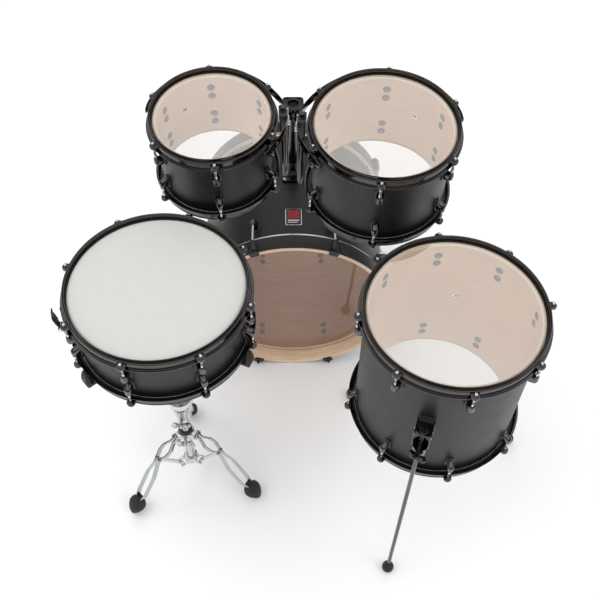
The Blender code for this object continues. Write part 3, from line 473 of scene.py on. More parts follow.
def shell_ring(drum, inside, vent):
    """Shell with bearing edges, finished outside and bare maple inside, with its lined vent hole."""
    out, inner, low = drum.radius - 0.0005, drum.radius - 0.0070, -drum.depth
    outline = [(out, -0.0032), (out - 0.0010, -0.0014), (out - 0.0022, -0.0009), (inner, -0.0056),
               (inner, low + 0.0056), (out - 0.0022, low + 0.0009), (out - 0.0010, low + 0.0014),
               (out, low + 0.0032)]
    body = Shape().annulus(outline, drum.place, 0, [2, 2, 2, 1, 2, 2, 2, 0], 128)
    made = piece(drum.name + "_shell_wood", body, [SATIN_BLACK, inside, MAPLE_EDGE], drum.body,
                 drum.name + "_shell", 25)
    bearing, height = vent
    hole = Shape()
    at = drum.place @ radial(bearing) @ move(0, 0, height) @ Matrix.Rotation(math.radians(90), 4, "Y")
    eyelet = [(0.0034, -0.0012), (0.0038, 0.0010), (0.0070, 0.0012), (0.0074, 0.0002), (0.0068, -0.0004)]
    hole.annulus(eyelet, at @ move(0, 0, drum.radius - 0.0006), 0, None, 24)
    hole.annulus(eyelet, at @ move(0, 0, inner + 0.0002) @ Matrix.Diagonal((1, 1, -1, 1)), 0, None, 24)
    # Near-black discs across the vent hole: painted shade for its depth.
    hole.turned([(0.0036, 0), (0.0036, 0.0002)], at @ move(0, 0, drum.radius - 0.0005), 1)
    hole.turned([(0.0036, 0), (0.0036, 0.0002)], at @ move(0, 0, inner - 0.0002), 1)
    piece(drum.name + "_vent", hole, [CHROME, PAINTED_SHADE_HOLE], drum.body)
    return made


def lug_form(stretch=1.0):
    """One low-mass lug: local X points out of the shell, +Z towards its head."""
    made = Shape()
    gasket = [(-0.0022, 1.00), (0.0012, 1.00), (0.0018, 0.96)]
    made.loft([[Vector((x, p.x * s, p.y * s)) for p in oval(0.0225, 0.0425, 40)] for x, s in gasket], 1)
    plate_stations = [(0.0014, 0.0212, 0.0408, 0.0), (0.0026, 0.0212, 0.0408, 0.0),
                      (0.0036, 0.0204, 0.0398, 0.0),
                      (0.0044, 0.0180, 0.0370, 0.0), (0.0047, 0.0120, 0.0300, 0.0)]
    made.loft([[Vector((x, p.x, p.y + z)) for p in oval(w, h, 40)] for x, w, h, z in plate_stations], 3)
    stations = [(0.0040, 0.0150, 0.0250, -0.0040), (0.0075, 0.0154, 0.0250, -0.0036),
                (0.0110, 0.0156, 0.0240, -0.0030),
                (0.0145, 0.0156, 0.0224, -0.0024), (0.0180, 0.0148, 0.0200, -0.0020),
                (0.0208, 0.0128, 0.0164, -0.0018),
                (0.0226, 0.0086, 0.0108, -0.0018), (0.0232, 0.0040, 0.0050, -0.0018)]
    made.loft([[Vector((x * stretch, p.x, p.y + z)) for p in oval(w, h, 40)] for x, w, h, z in stations], 0)
    made.turned([(0.0056, 0.0020), (0.0060, 0.0040), (0.0058, 0.0084), (0.0050, 0.0096), (0.0036, 0.0098)],
                move(ROD_OFFSET if stretch == 1.0 else BASS_ROD_OFFSET), 0, 24)
    made.turned([(0.0030, 0.0080), (0.0030, 0.0180)],
                move(ROD_OFFSET if stretch == 1.0 else BASS_ROD_OFFSET), 2, 20)
    return made


LUG = lug_form()
BASS_LUG = lug_form(1.24)


def lugs(drum, centre, form=LUG):
    """All lugs outside, and the ends of their screws inside."""
    outside, inside = Shape(), Shape()
    for side, place in drum.sides():
        for bearing in drum.bearings:
            at = place @ radial(bearing) @ move(drum.radius - 0.0006, 0, -centre)
            outside.add(form, at)
            for high in (-0.0125, 0.0125):
                face = at @ move(-0.0064, 0, high) @ Matrix.Rotation(math.radians(-90), 4, "Y")
                inside.screw(face, 0.0066, 0.0032)
    piece(drum.name + "_lugs", outside, [LUG_METAL, BLACK_PLASTIC, CHROME, DARK_BLOCK], drum.body)
    piece(drum.name + "_lug_screws", inside, [GREY_STEEL], drum.body)


def tension_rod(lug_top):
    """Square-headed rod with its washers, standing in the head's frame at the rod's axis."""
    made = Shape()
    made.turned([(0.0056, -0.0004), (0.0058, 0.0001), (0.0056, 0.0006)], None, 1, 24)
    made.turned([(0.0046, 0.0004), (0.0048, 0.0009), (0.0045, 0.0016), (0.0030, 0.0020)], None, 3, 24)
    made.block((-0.0026, -0.0026, 0.0016), (0.0026, 0.0026, 0.0074), 0.0006, 0.0006, 0)
    made.turned([(0.0027, -lug_top - 0.004), (0.0027, 0.0)], None, 2, 16)
    for k in range(9):
        z = -lug_top + 0.0005 + k * 0.0012
        made.annulus([(0.0026, z), (0.0030, z + 0.0005), (0.0026, z + 0.0010)], None, 2, None, 16)
    return made


def hoop(drum, side, place, lug_top):
    """Triple-flanged steel hoop with ears, and its tension rods."""
    r = drum.radius
    path = [(r + 0.0148, -0.0152), (r + 0.0094, -0.0150), (r + 0.0094, 0.0017), (r + 0.0047, 0.0017),
            (r + 0.0047, 0.0098), (r + 0.0070, 0.0112)]
    outline = plate(path, 0.0021, 0.0022, 4)
    steel = Shape()
    steel.annulus(outline, place, 0, None, 128)
    ear = []
    for z, inset in ((-0.0068, 0.0010), (-0.0064, 0.0003), (-0.0058, 0.0), (-0.0016, 0.0), (-0.0008, 0.0003),
                     (-0.0004, 0.0010)):
        half = 0.0088 - inset
        points = [Vector((r + 0.0090, -half - 0.0015)), Vector((r + ROD_OFFSET - 0.0030, -half))]
        points += [Vector((r + ROD_OFFSET + 0.0002 + half * 0.92 * math.cos(a), half * math.sin(a)))
                   for a in (math.radians(d) for d in range(-75, 76, 15))]
        points += [Vector((r + ROD_OFFSET - 0.0030, half)), Vector((r + 0.0090, half + 0.0015))]
        ear.append([Vector((p.x, p.y, z)) for p in points])
    rods = Shape()
    rod = tension_rod(lug_top)
    for bearing in drum.bearings:
        steel.loft(ear, 0, place @ radial(bearing))
        rods.add(rod, place @ radial(bearing) @ move(r + ROD_OFFSET))
    part = "%s_%s_hoop" % (drum.name, side)
    piece(part + "_steel", steel, [DARK_CHROME], drum.body, part)
    piece(part + "_rods", rods, [CHROME, BLACK_PLASTIC, CHROME, DARK_CHROME], drum.body)


def head(drum, side, place, finish_key, slot):
    """Stretched film with its collar, and the aluminium hoop that grips it, coloured near black as painted
    shade.
    """
    r = drum.radius
    skin = [(r + 0.0008, -0.0084), (r + 0.0012, -0.0080), (r + 0.0009, -0.0034), (r - 0.0004, -0.0014),
            (r - 0.0024, -0.0004), (r - 0.0050, 0.0), (r - 0.0052, -0.0004), (r - 0.0026, -0.0008),
            (r - 0.0008, -0.0017), (r + 0.0005, -0.0034), (r + 0.0007, -0.0080)]
    part = "%s_%s_head" % (drum.name, side)
    sheet = Shape()
    sheet.turned([(r - 0.0050, -0.0004), (r - 0.0050, 0.0)], place, 0, 128)
    piece(part + "_film", sheet, [finish_key], drum.body, part)
    ring = Shape().annulus(skin, place, 0, None, 128)
    # aluminium flesh hoop in the near-black finish: painted shade under the steel hoop
    ring.annulus(box_outline(r + 0.0013, r + 0.0064, -0.0088, 0.0004, 0.0012), place, 1, None, 128)
    piece(part + "_hoop", ring, [finish_key if slot == "coated_film" else COLLAR, PAINTED_SHADE_FLESH_HOOP], drum.body)


def round_drum(drum, lug_centre, lug_top, vent, batter=None, slot="clear_film"):
    shell_ring(drum, MAPLE, vent)
    lugs(drum, lug_centre)
    for side, place in drum.sides():
        hoop(drum, side, place, lug_top)
        if side == "batter" and batter:
            head(drum, side, place, batter, slot)
        else:
            head(drum, side, place, CLEAR_TOP if side == "batter" else CLEAR_LOW, "clear_film")


def wing_bolt(matrix, reach, span, style="T"):
    """Bolt with a T bar or a curved wing; local Z points out, X lies along the bar."""
    made = Shape()
    made.turned([(0.0040, 0), (0.0044, 0.0008), (0.0044, reach - 0.003)], matrix, 0, 20)
    made.turned([(0.0055, reach - 0.006), (0.0062, reach - 0.005), (0.0062, reach - 0.001), (0.0050, reach)],
                matrix, 0, 24)
    half = span / 2
    bow = -0.003 if style == "wing" else 0.0
    line = [(-half, 0, reach + 0.004 + bow * 2), (-half * 0.5, 0, reach + 0.004 + bow * 0.5),
            (0, 0, reach + 0.004), (half * 0.5, 0, reach + 0.004 + bow * 0.5),
            (half, 0, reach + 0.004 + bow * 2)]
    line = soften(line, 0.006, 3)
    count = len(line)
    scales = [0.72 + 0.5 * abs(2 * k / (count - 1) - 1) ** 1.5 for k in range(count)]
    scales[0] *= 0.6
    scales[-1] *= 0.6
    made.sweep(line, oval(0.0078, 0.0150, 24) if style == "wing" else oval(0.0072, 0.0086, 20), None, 0,
               matrix, scales)
    made.turned([(0.0048, reach - 0.002), (0.0056, reach + 0.001), (0.0056, reach + 0.006),
                 (0.0040, reach + 0.0085)],
                matrix, 0, 24)
    return made


# ---------------------------------------------------------------- rack toms, floor tom, snare

round_drum(small, 0.049, 0.030, (126, -0.082))
round_drum(large, 0.049, 0.030, (54, -0.093))
round_drum(floor_tom, 0.049, 0.030, (74, -0.171))
round_drum(snare, 0.046, 0.028, (60, -0.070), COATED, "coated_film")


# ---------------------------------------------------------------- bass drum

def bass_drum():
    shell_ring(bass, MAPLE_DEEP, (60, -0.20))
    lugs(bass, 0.0655, BASS_LUG)
    r = bass.radius
    for side, place in bass.sides():
        part = "bass_batter" if side == "batter" else "bass_front"
        sheet = Shape().turned([(r - 0.0050, -0.0005), (r - 0.0050, 0.0)], place, 0, 128)
        piece(part + "_head_film", sheet, [CLEAR_BASS], bass.body, part + "_head")
        skin = [(r + 0.0010, -0.0185), (r + 0.0014, -0.0180), (r + 0.0012, -0.0040), (r - 0.0004, -0.0014),
                (r - 0.0024, -0.0004), (r - 0.0050, 0.0), (r - 0.0052, -0.0005), (r - 0.0026, -0.0009),
                (r - 0.0008, -0.0018), (r + 0.0007, -0.0040)]
        ring = Shape().annulus(skin, place, 0, None, 128)
        ring.annulus(box_outline(r + 0.0016, r + 0.0090, -0.0192, -0.0104, 0.0012), place, 1, None, 128)
        piece(part + "_flesh_hoop", ring, [COLLAR, ALUMINIUM], bass.body)
        wood_ring = [(r + 0.0030, 0.0336), (r + 0.0035, 0.0346), (r + 0.0046, 0.0350), (r + 0.0134, 0.0350),
                     (r + 0.0144, 0.0346), (r + 0.0150, 0.0334), (r + 0.0150, -0.0090),
                     (r + 0.0140, -0.0100),
                     (r + 0.0040, -0.0100), (r + 0.0030, -0.0090)]
        turned = Shape().annulus(wood_ring, place, 0, [0, 0, 0, 0, 1, 1, 1, 0, 0, 0], 160)
        piece(part + "_hoop_wood", turned, [MAPLE_BASS, SATIN_HOOP], bass.body, part + "_hoop", 40)
        claws, rods = Shape(), Shape()
        for bearing in bass.bearings:
            at = place @ radial(bearing) @ move(r)
            line = soften([(0.0062, 0.0368), (0.0160, 0.0376), (0.0262, 0.0366), (0.0268, 0.0010)], 0.0060,
                          5)
            rings = []
            for j, p in enumerate(line):
                run = Vector(line[min(j + 1, len(line) - 1)]) - Vector(line[max(j - 1, 0)])
                run.normalize()
                wide = 0.0125 - max(0.0, 0.032 - p[1]) * 0.20
                outline = soften([(-wide, -0.0019), (wide, -0.0019), (wide, 0.0019), (-wide, 0.0019)],
                                 0.0014, 2, True)
                rings.append([Vector((p[0] - run.y * q[1], q[0], p[1] + run.x * q[1])) for q in outline])
            claws.loft(rings, 0, at)
            claws.turned([(0.0062, 0.0040), (0.0074, 0.0056), (0.0078, 0.0300), (0.0070, 0.0345),
                          (0.0062, 0.0376),
                          (0.0050, 0.0386)], at @ move(BASS_ROD_OFFSET), 0, 24)
            claws.block((0.0152, -0.0122, 0.0090), (0.0168, 0.0122, 0.0352), 0.0006, 0.0004, 1, at)
            claws.block((0.0060, -0.0124, 0.0352), (0.0170, 0.0124, 0.0366), 0.0006, 0.0004, 1, at)
            rods.turned([(0.0030, -0.048), (0.0030, 0.0400)], at @ move(BASS_ROD_OFFSET), 0, 16)
            rods.turned([(0.0050, 0.0380), (0.0052, 0.0392), (0.0046, 0.0402)], at @ move(BASS_ROD_OFFSET),
                        1, 24)
            rods.block((BASS_ROD_OFFSET - 0.0026, -0.0026, 0.0400),
                       (BASS_ROD_OFFSET + 0.0026, 0.0026, 0.0450),
                       0.0006, 0.0006, 1, at)
        piece(part + "_claws", claws, [DARK_BLOCK, RUBBER], bass.body)
        piece(part + "_rods", rods, [CHROME, DARK_CHROME], bass.body)

    # plain badge on the upper shell: a dark plate with a light border, a red field and two light lines
    at = bass.place @ radial(90) @ move(r - 0.0002, 0, -0.084) @ Matrix.Rotation(math.radians(90), 4, "Y")
    at = at @ Matrix.Rotation(math.radians(-90), 4, "Z")
    badge = Shape()
    badge.block((-0.0215, -0.0290, -0.0004), (0.0215, 0.0290, 0.0012), 0.0055, 0.0004, 0, at, 5)
    badge.block((-0.0200, -0.0275, 0.0008), (0.0200, 0.0275, 0.0016), 0.0044, 0.0002, 1, at, 5)
    badge.block((-0.0150, -0.0070, 0.0014), (0.0150, 0.0230, 0.0021), 0.0020, 0.0002, 2, at, 4)
    badge.block((-0.0150, -0.0140, 0.0014), (0.0150, -0.0112, 0.0020), 0.0008, 0.0002, 3, at)
    badge.block((-0.0150, -0.0205, 0.0014), (0.0110, -0.0186, 0.0020), 0.0006, 0.0002, 3, at)
    piece("bass_badge", badge, [ALUMINIUM, BADGE_BLACK, BADGE_RED, BADGE_WHITE], bass.body)


bass_drum()


def spur(name, mirror):
    """Cast bracket, and a leg on a toothed disc with a rubber tip."""
    bearing = 180 + 20 if mirror else -20
    turn = math.radians(bearing)
    outwards = Vector((math.cos(turn), 0, math.sin(turn)))
    sign = -1 if mirror else 1
    axis = bass.place.translation
    centre = Vector((axis.x, axis.y - HOOP_PROUD + 0.300, axis.z))
    seat = along(centre + outwards * bass.radius, outwards, (0, 0, 1))
    bracket = Shape()
    levels = [(-0.0022, 1.0), (0.0030, 1.0), (0.0060, 0.94), (0.0110, 0.84), (0.0160, 0.74), (0.0180, 0.70)]
    bracket.loft([[Vector((p.x * s, p.y * s, z)) for p in oval(0.050, 0.046, 40, 3.2)] for z, s in levels],
                 0, seat)
    for x, y in ((-0.017, -0.014), (0.017, -0.014), (-0.017, 0.014), (0.017, 0.014)):
        bracket.screw(seat @ move(x, y, 0.0055), 0.0028, 0.0022, 1)
    piece(name + "_bracket_cast", bracket, [DARK_BLOCK, CHROME], "kit_base", name + "_bracket")
    pivot = centre + outwards * (bass.radius + 0.0183)
    leg = Shape()
    base = along(pivot, outwards, (0, 0, 1))
    leg.turned([(0.0150, 0), (0.0160, 0.0008), (0.0160, 0.0100), (0.0146, 0.0120), (0.0060, 0.0126)], base,
               0, 40)
    for k in range(24):
        leg.block((0.0148, -0.0007, 0.0012), (0.0166, 0.0007, 0.0040), 0.0002, 0.0002, 0,
                  base @ Matrix.Rotation(math.tau * k / 24, 4, "Z"), 1)
    start = pivot + outwards * 0.006
    foot = Vector((start.x + sign * 0.085, start.y + 0.090, 0.016))
    leg.tube([start, start.lerp(foot, 0.5), foot], 0.0060, 0)
    leg.turned([(0.0085, 0), (0.0100, 0.0010), (0.0120, 0.0075), (0.0096, 0.0180), (0.0078, 0.0230),
                (0.0068, 0.0240)],
               move(foot.x, foot.y, 0), 1, 28)
    leg.turned([(0.0062, 0.012), (0.0066, 0.0126), (0.0066, 0.018), (0.0050, 0.0200)], base, 2, 6)
    piece(name + "_leg", leg, [CHROME, RUBBER, CHROME], name, name)


spur("spur_right", False)
spur("spur_left", True)


# ---------------------------------------------------------------- rack tom holder

def holder():
    low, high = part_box("holder_base")
    seat = Vector(((low.x + high.x) / 2, (low.y + high.y) / 2, low.z))
    at = Matrix.Translation(seat)
    base = Shape()
    base.block((-0.0300, -0.0400, -0.0015), (0.0300, 0.0400, 0.0060), 0.0100, 0.0016, 0, at, 5)
    base.annulus([(0.0134, 0.004), (0.0250, 0.004), (0.0235, 0.0085), (0.0220, 0.0110), (0.0220, 0.0490),
                  (0.0206, 0.0516), (0.0142, 0.0520), (0.0134, 0.0512)], at, 0, None, 48)
    # The screws' cross slots take the near-black finish: painted shade in the slots.
    for x, y in ((-0.021, -0.031), (0.021, -0.031), (-0.021, 0.031), (0.021, 0.031)):
        base.screw(at @ move(x, y, 0.0056), 0.0040, 0.0030, 1, 2)
    base.turned([(0.0080, 0.0140), (0.0090, 0.0155), (0.0090, 0.0218), (0.0080, 0.0225)],
                at @ move(0, 0, 0.030) @ Matrix.Rotation(math.radians(90), 4, "X"), 0, 24)
    piece("holder_base_cast", base, [DARK_BLOCK, CHROME, PAINTED_SHADE_HOLE], "kit_base",
          "holder_base")
    bolt = along(seat + Vector((0, -0.0223, 0.030)), (0, -1, 0), (0, 0, 1))
    piece("holder_bolt", wing_bolt(bolt, 0.014, 0.042), [DARK_CHROME], "holder_wing_bolt",
          "holder_wing_bolt")

    clamp_low, clamp_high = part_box("holder_clamp")
    level = clamp_low.z + 0.020
    post = Shape()
    post.annulus(box_outline(0.0107, 0.0127, -0.080, level + 0.0200 - seat.z - 0.008, 0.0007), at, 0, None,
                 48)
    for z in (0.075, 0.105):
        post.annulus(box_outline(0.0127, 0.0129, z, z + 0.0006, 0.0001, 1), at, 0, None, 48)
    piece("holder_post_tube", post, [DARK_CHROME], "holder_post", "holder_post")

    middle = Vector((seat.x, seat.y, level))
    block = Shape()
    frame_at = Matrix.Translation(middle)
    outline = squarish(0.054, 0.050)
    bore = [p.normalized() * 0.0134 for p in outline]
    rings = []
    for z, inset in ((-0.0200, 0.0018), (-0.0192, 0.0005), (-0.0180, 0), (0.0180, 0), (0.0192, 0.0005),
                     (0.0200, 0.0018)):
        rings.append([Vector((p.x * (1 - inset / 0.026), p.y * (1 - inset / 0.026), z)) for p in outline])
    rings += [[Vector((p.x * 1.08, p.y * 1.08, 0.0200)) for p in bore],
              [Vector((p.x, p.y, 0.0190)) for p in bore],
              [Vector((p.x, p.y, -0.0190)) for p in bore], [Vector((p.x * 1.08, p.y * 1.08,
                                                                    -0.0200)) for p in bore]]
    block.loft(rings, 0, frame_at, True)
    for sign in (-1, 1):
        side = frame_at @ move(sign * 0.0265, 0.004, 0) @ Matrix.Rotation(math.radians(90 * sign), 4, "Y")
        block.turned([(0.0070, -0.002), (0.0078, 0.0), (0.0078, 0.0040), (0.0066, 0.0052)], side, 1, 6)
    for x0, x1 in ((-0.0030, 0.0030), (0.0226, 0.0266), (-0.0266, -0.0226)):
        cheek = [Vector((p.x, p.y)) for p in soften([(-0.020, -0.013), (-0.046, -0.011), (-0.046, 0.011),
                                                     (-0.020, 0.013)], 0.008, 5, True)]
        block.loft([[Vector((x, p.x, p.y)) for p in cheek] for x in (x0, x1)], 0, frame_at)
    for sign in (-1, 1):
        at_ball = frame_at @ move(sign * 0.0268, -0.0365, 0) @ Matrix.Rotation(math.radians(90 * sign), 4,
                "Y")
        block.turned([(0.0062, 0), (0.0066, 0.0006), (0.0066, 0.0036), (0.0056, 0.0044)], at_ball, 1, 6)
    # Near-black disc inside the bore: painted shade in the gap round the post.
    block.turned([(0.0126, 0.0120), (0.0126, 0.0126)], frame_at, 2, 32)
    piece("holder_clamp_cast", block, [DARK_BLOCK, CHROME, PAINTED_SHADE_HOLE], "holder_post",
          "holder_clamp")
    return [middle + Vector((sign * 0.0128, -0.0365, 0)) for sign in (-1, 1)]


balls = holder()


def suspension(drum, bracket, middle):
    """Steel band round four rods, its grommets, and the bracket that grips the arm."""
    r = drum.radius
    rods = sorted(drum.bearings, key=lambda b: abs((b - middle + 180) % 360 - 180))[:4]
    offs = sorted((b - middle + 180) % 360 - 180 for b in rods)
    first, last = middle + offs[0] - 13.0, middle + offs[-1] + 13.0

    def reach(bearing):
        off = (bearing - bracket + 180) % 360 - 180
        return r + 0.0236 + 0.0119 * math.exp(-(off / 26.0) ** 2)

    band = Shape()
    steps = 72
    rings = []
    for k in range(steps + 1):
        bearing = first + (last - first) * k / steps
        out, edge = reach(bearing), min(k, steps - k)
        trim = 0.006 * max(0.0, 1 - edge / 3.0) ** 2
        outline = soften([(out - 0.0022, -0.0292 + trim), (out, -0.0292 + trim), (out, -0.0072 - trim),
                          (out - 0.0022, -0.0072 - trim)], 0.0008, 2, True)
        rings.append([polar(p.x, bearing, p.y) for p in outline])
    band.loft(rings, 0, drum.place)
    # pressed bead along the middle of the band
    bead = []
    for k in range(3, steps - 2):
        bearing = first + (last - first) * k / steps
        out = reach(bearing)
        bead.append([polar(out - 0.0006 + p.x, bearing, -0.0182 + p.y) for p in oval(0.0030, 0.0070, 14,
                2.0)])
    band.loft(bead, 0, drum.place)
    block_at = drum.place @ radial(bracket)
    band.block((r + 0.0165, -0.017, -0.046), (r + 0.0340, 0.017, 0.0), 0.004, 0.0012, 1, block_at, 4)
    band.annulus([(0.0056, 0.0), (0.0084, 0.0), (0.0080, 0.0030), (0.0058, 0.0030)],
                 block_at @ move(r + 0.0250), 1, None, 28)
    band.annulus([(0.0056, -0.046), (0.0084, -0.046), (0.0080, -0.0490), (0.0058, -0.0490)],
                 block_at @ move(r + 0.0250),
                 1, None, 28)
    for z in (-0.0095, -0.0205, -0.0385):
        bolt = block_at @ move(r + 0.0352, 0, z) @ Matrix.Rotation(math.radians(90), 4, "Y")
        if z > -0.03:
            for y in (-0.0110, 0.0110):
                band.turned([(0.0036, -0.0008), (0.0038, 0), (0.0038, 0.0018), (0.0026, 0.0026)],
                            block_at @ move(r + 0.0354, y, z) @ Matrix.Rotation(math.radians(90), 4, "Y"),
                            2, 20)
        else:
            band.turned([(0.0052, -0.002), (0.0056, 0.0), (0.0056, 0.0050), (0.0046, 0.0060)], bolt, 2, 24)
    for bearing in rods:
        at = drum.place @ radial(bearing)
        inner, outer = r + ROD_OFFSET + 0.0034, reach(bearing) - 0.0010
        band.block((inner, -0.0070, -0.0185), (outer, 0.0070, -0.0145), 0.0006, 0.0006, 0, at)
        band.annulus([(0.0031, -0.0198), (0.0054, -0.0198), (0.0056, -0.0188), (0.0050, -0.0180),
                      (0.0050, -0.0152),
                      (0.0056, -0.0144), (0.0054, -0.0132), (0.0031, -0.0132)], at @ move(r + ROD_OFFSET),
                     3, None, 24)
        band.turned([(0.0034, -0.0006), (0.0036, 0), (0.0036, 0.0014), (0.0024, 0.0022)],
                    at @ move(reach(bearing), 0, -0.0182) @ Matrix.Rotation(math.radians(90), 4, "Y"), 2, 20)
    piece(drum.name + "_band", band, [DARK_CHROME, BLACK_PLASTIC, CHROME, RUBBER], drum.body,
          drum.name + "_suspension")


def tom_arm(drum, bracket, ball):
    """Ball, and a round bar that runs forwards and then up through the tom's bracket."""
    foot = drum.place @ polar(drum.radius + 0.0250, bracket)
    axis = (drum.place.to_3x3() @ Vector((0, 0, 1))).normalized()
    corner = foot - axis * ((foot.z - ball.z) / axis.z)
    top = foot + axis * 0.0110
    bar = Shape()
    bar.tube(soften([ball, corner, top], 0.024, 14), 0.00525, 0, None, 28)
    shape = [(0.0095 * math.sin(math.pi * k / 14), -0.0095 * math.cos(math.pi * k / 14)) for k in range(1,
            14)]
    bar.turned(shape, Matrix.Translation(ball), 0, 28)
    piece(drum.name + "_arm_bar", bar, [DARK_CHROME], drum.name + "_arm", drum.name + "_arm")


suspension(small, 4.0, 64.5)
suspension(large, 173.0, 113.2)
tom_arm(small, 4.0, balls[0])
tom_arm(large, 173.0, balls[1])


# ---------------------------------------------------------------- floor tom legs

def floor_tom_legs():
    r, height = floor_tom.radius, floor_tom.place.translation.z
    brackets = Shape()
    for k, (turn, splay) in enumerate(((0, 0.026), (135, 0.120), (225, 0.120))):
        at = floor_tom.place @ radial(-109.1 + turn)
        low, high = -0.210, -0.130
        brackets.loft([[Vector((x, p.x * s, -0.168 + p.y * s)) for p in oval(0.040, 0.090, 36, 4.0)]
                       for x, s in ((r - 0.0020, 1.0), (r + 0.0030, 1.0), (r + 0.0042, 0.95))], 1, at)
        # open channel above, round clamp below
        for y0, y1 in ((-0.0180, -0.0140), (0.0140, 0.0180)):
            brackets.block((r + 0.002, y0, low + 0.030), (r + 0.0400, y1, high), 0.0016, 0.0008, 0, at)
        brackets.block((r + 0.002, -0.0160, low + 0.0280), (r + 0.0080, 0.0160, high), 0.0010, 0.0008, 1, at)
        brackets.block((r + 0.0060, -0.0150, high - 0.0060), (r + 0.0400, 0.0150, high - 0.0020), 0.0010,
                       0.0006, 0, at)
        clamp = [(0.0054, low), (0.0158, low), (0.0168, low + 0.0012), (0.0168, low + 0.0262),
                 (0.0158, low + 0.0275),
                 (0.0054, low + 0.0275)]
        brackets.annulus(clamp, at @ move(r + 0.0236 + 0.0064), 3, None, 40)
        brackets.annulus([(0.0052, high - 0.004), (0.0085, high - 0.004), (0.0080, high + 0.0015),
                          (0.0054, high + 0.0015)], at @ move(r + 0.0300), 1, None, 28)
        for y in (-0.0140, 0.0140):
            for z in (high - 0.014, low + 0.040):
                side = Matrix.Rotation(math.radians(-90 if y > 0 else 90), 4, "X")
                brackets.screw(at @ move(r + 0.0200, y * 1.28, z) @ side, 0.0024, 0.0014, 2)
        top = Vector((r + 0.0300, 0, -0.1220))
        knee = Vector((r + 0.0300, 0, -0.4000))
        foot = Vector((r + 0.0300 + splay, 0, -height + 0.015))
        leg = Shape()
        leg.tube(soften([top, knee, foot], 0.40, 10), 0.00475, 0, at, 24)
        ball = [(0.0086, 0.0), (0.0104, 0.0010), (0.0140, 0.0070), (0.0150, 0.0140), (0.0142, 0.0200),
                (0.0112, 0.0256),
                (0.0080, 0.0284), (0.0072, 0.0330), (0.0056, 0.0345)]
        leg.turned(ball, at @ move(foot.x, 0, -height), 1, 32)
        name = "floor_tom_leg_%d" % (k + 1)
        piece(name + "_rod", leg, [DARK_CHROME, RUBBER], name, name)
        name = "floor_tom_wing_bolt_%d" % (k + 1)
        seat = at @ Vector((r + 0.0403, 0, low + 0.014))
        bolt_at = along(seat, at.to_3x3() @ Vector((1, 0, 0)),
                        (0, 0, 1)) @ Matrix.Rotation(math.radians(-28), 4, "Z")
        piece(name + "_bar", wing_bolt(bolt_at, 0.012, 0.038, "wing"), [DARK_CHROME], name,
              name)
    piece("floor_tom_brackets", brackets, [DARK_CHROME, BLACK_PLASTIC, CHROME, LUG_METAL], floor_tom.body)


floor_tom_legs()


# ---------------------------------------------------------------- snare fittings

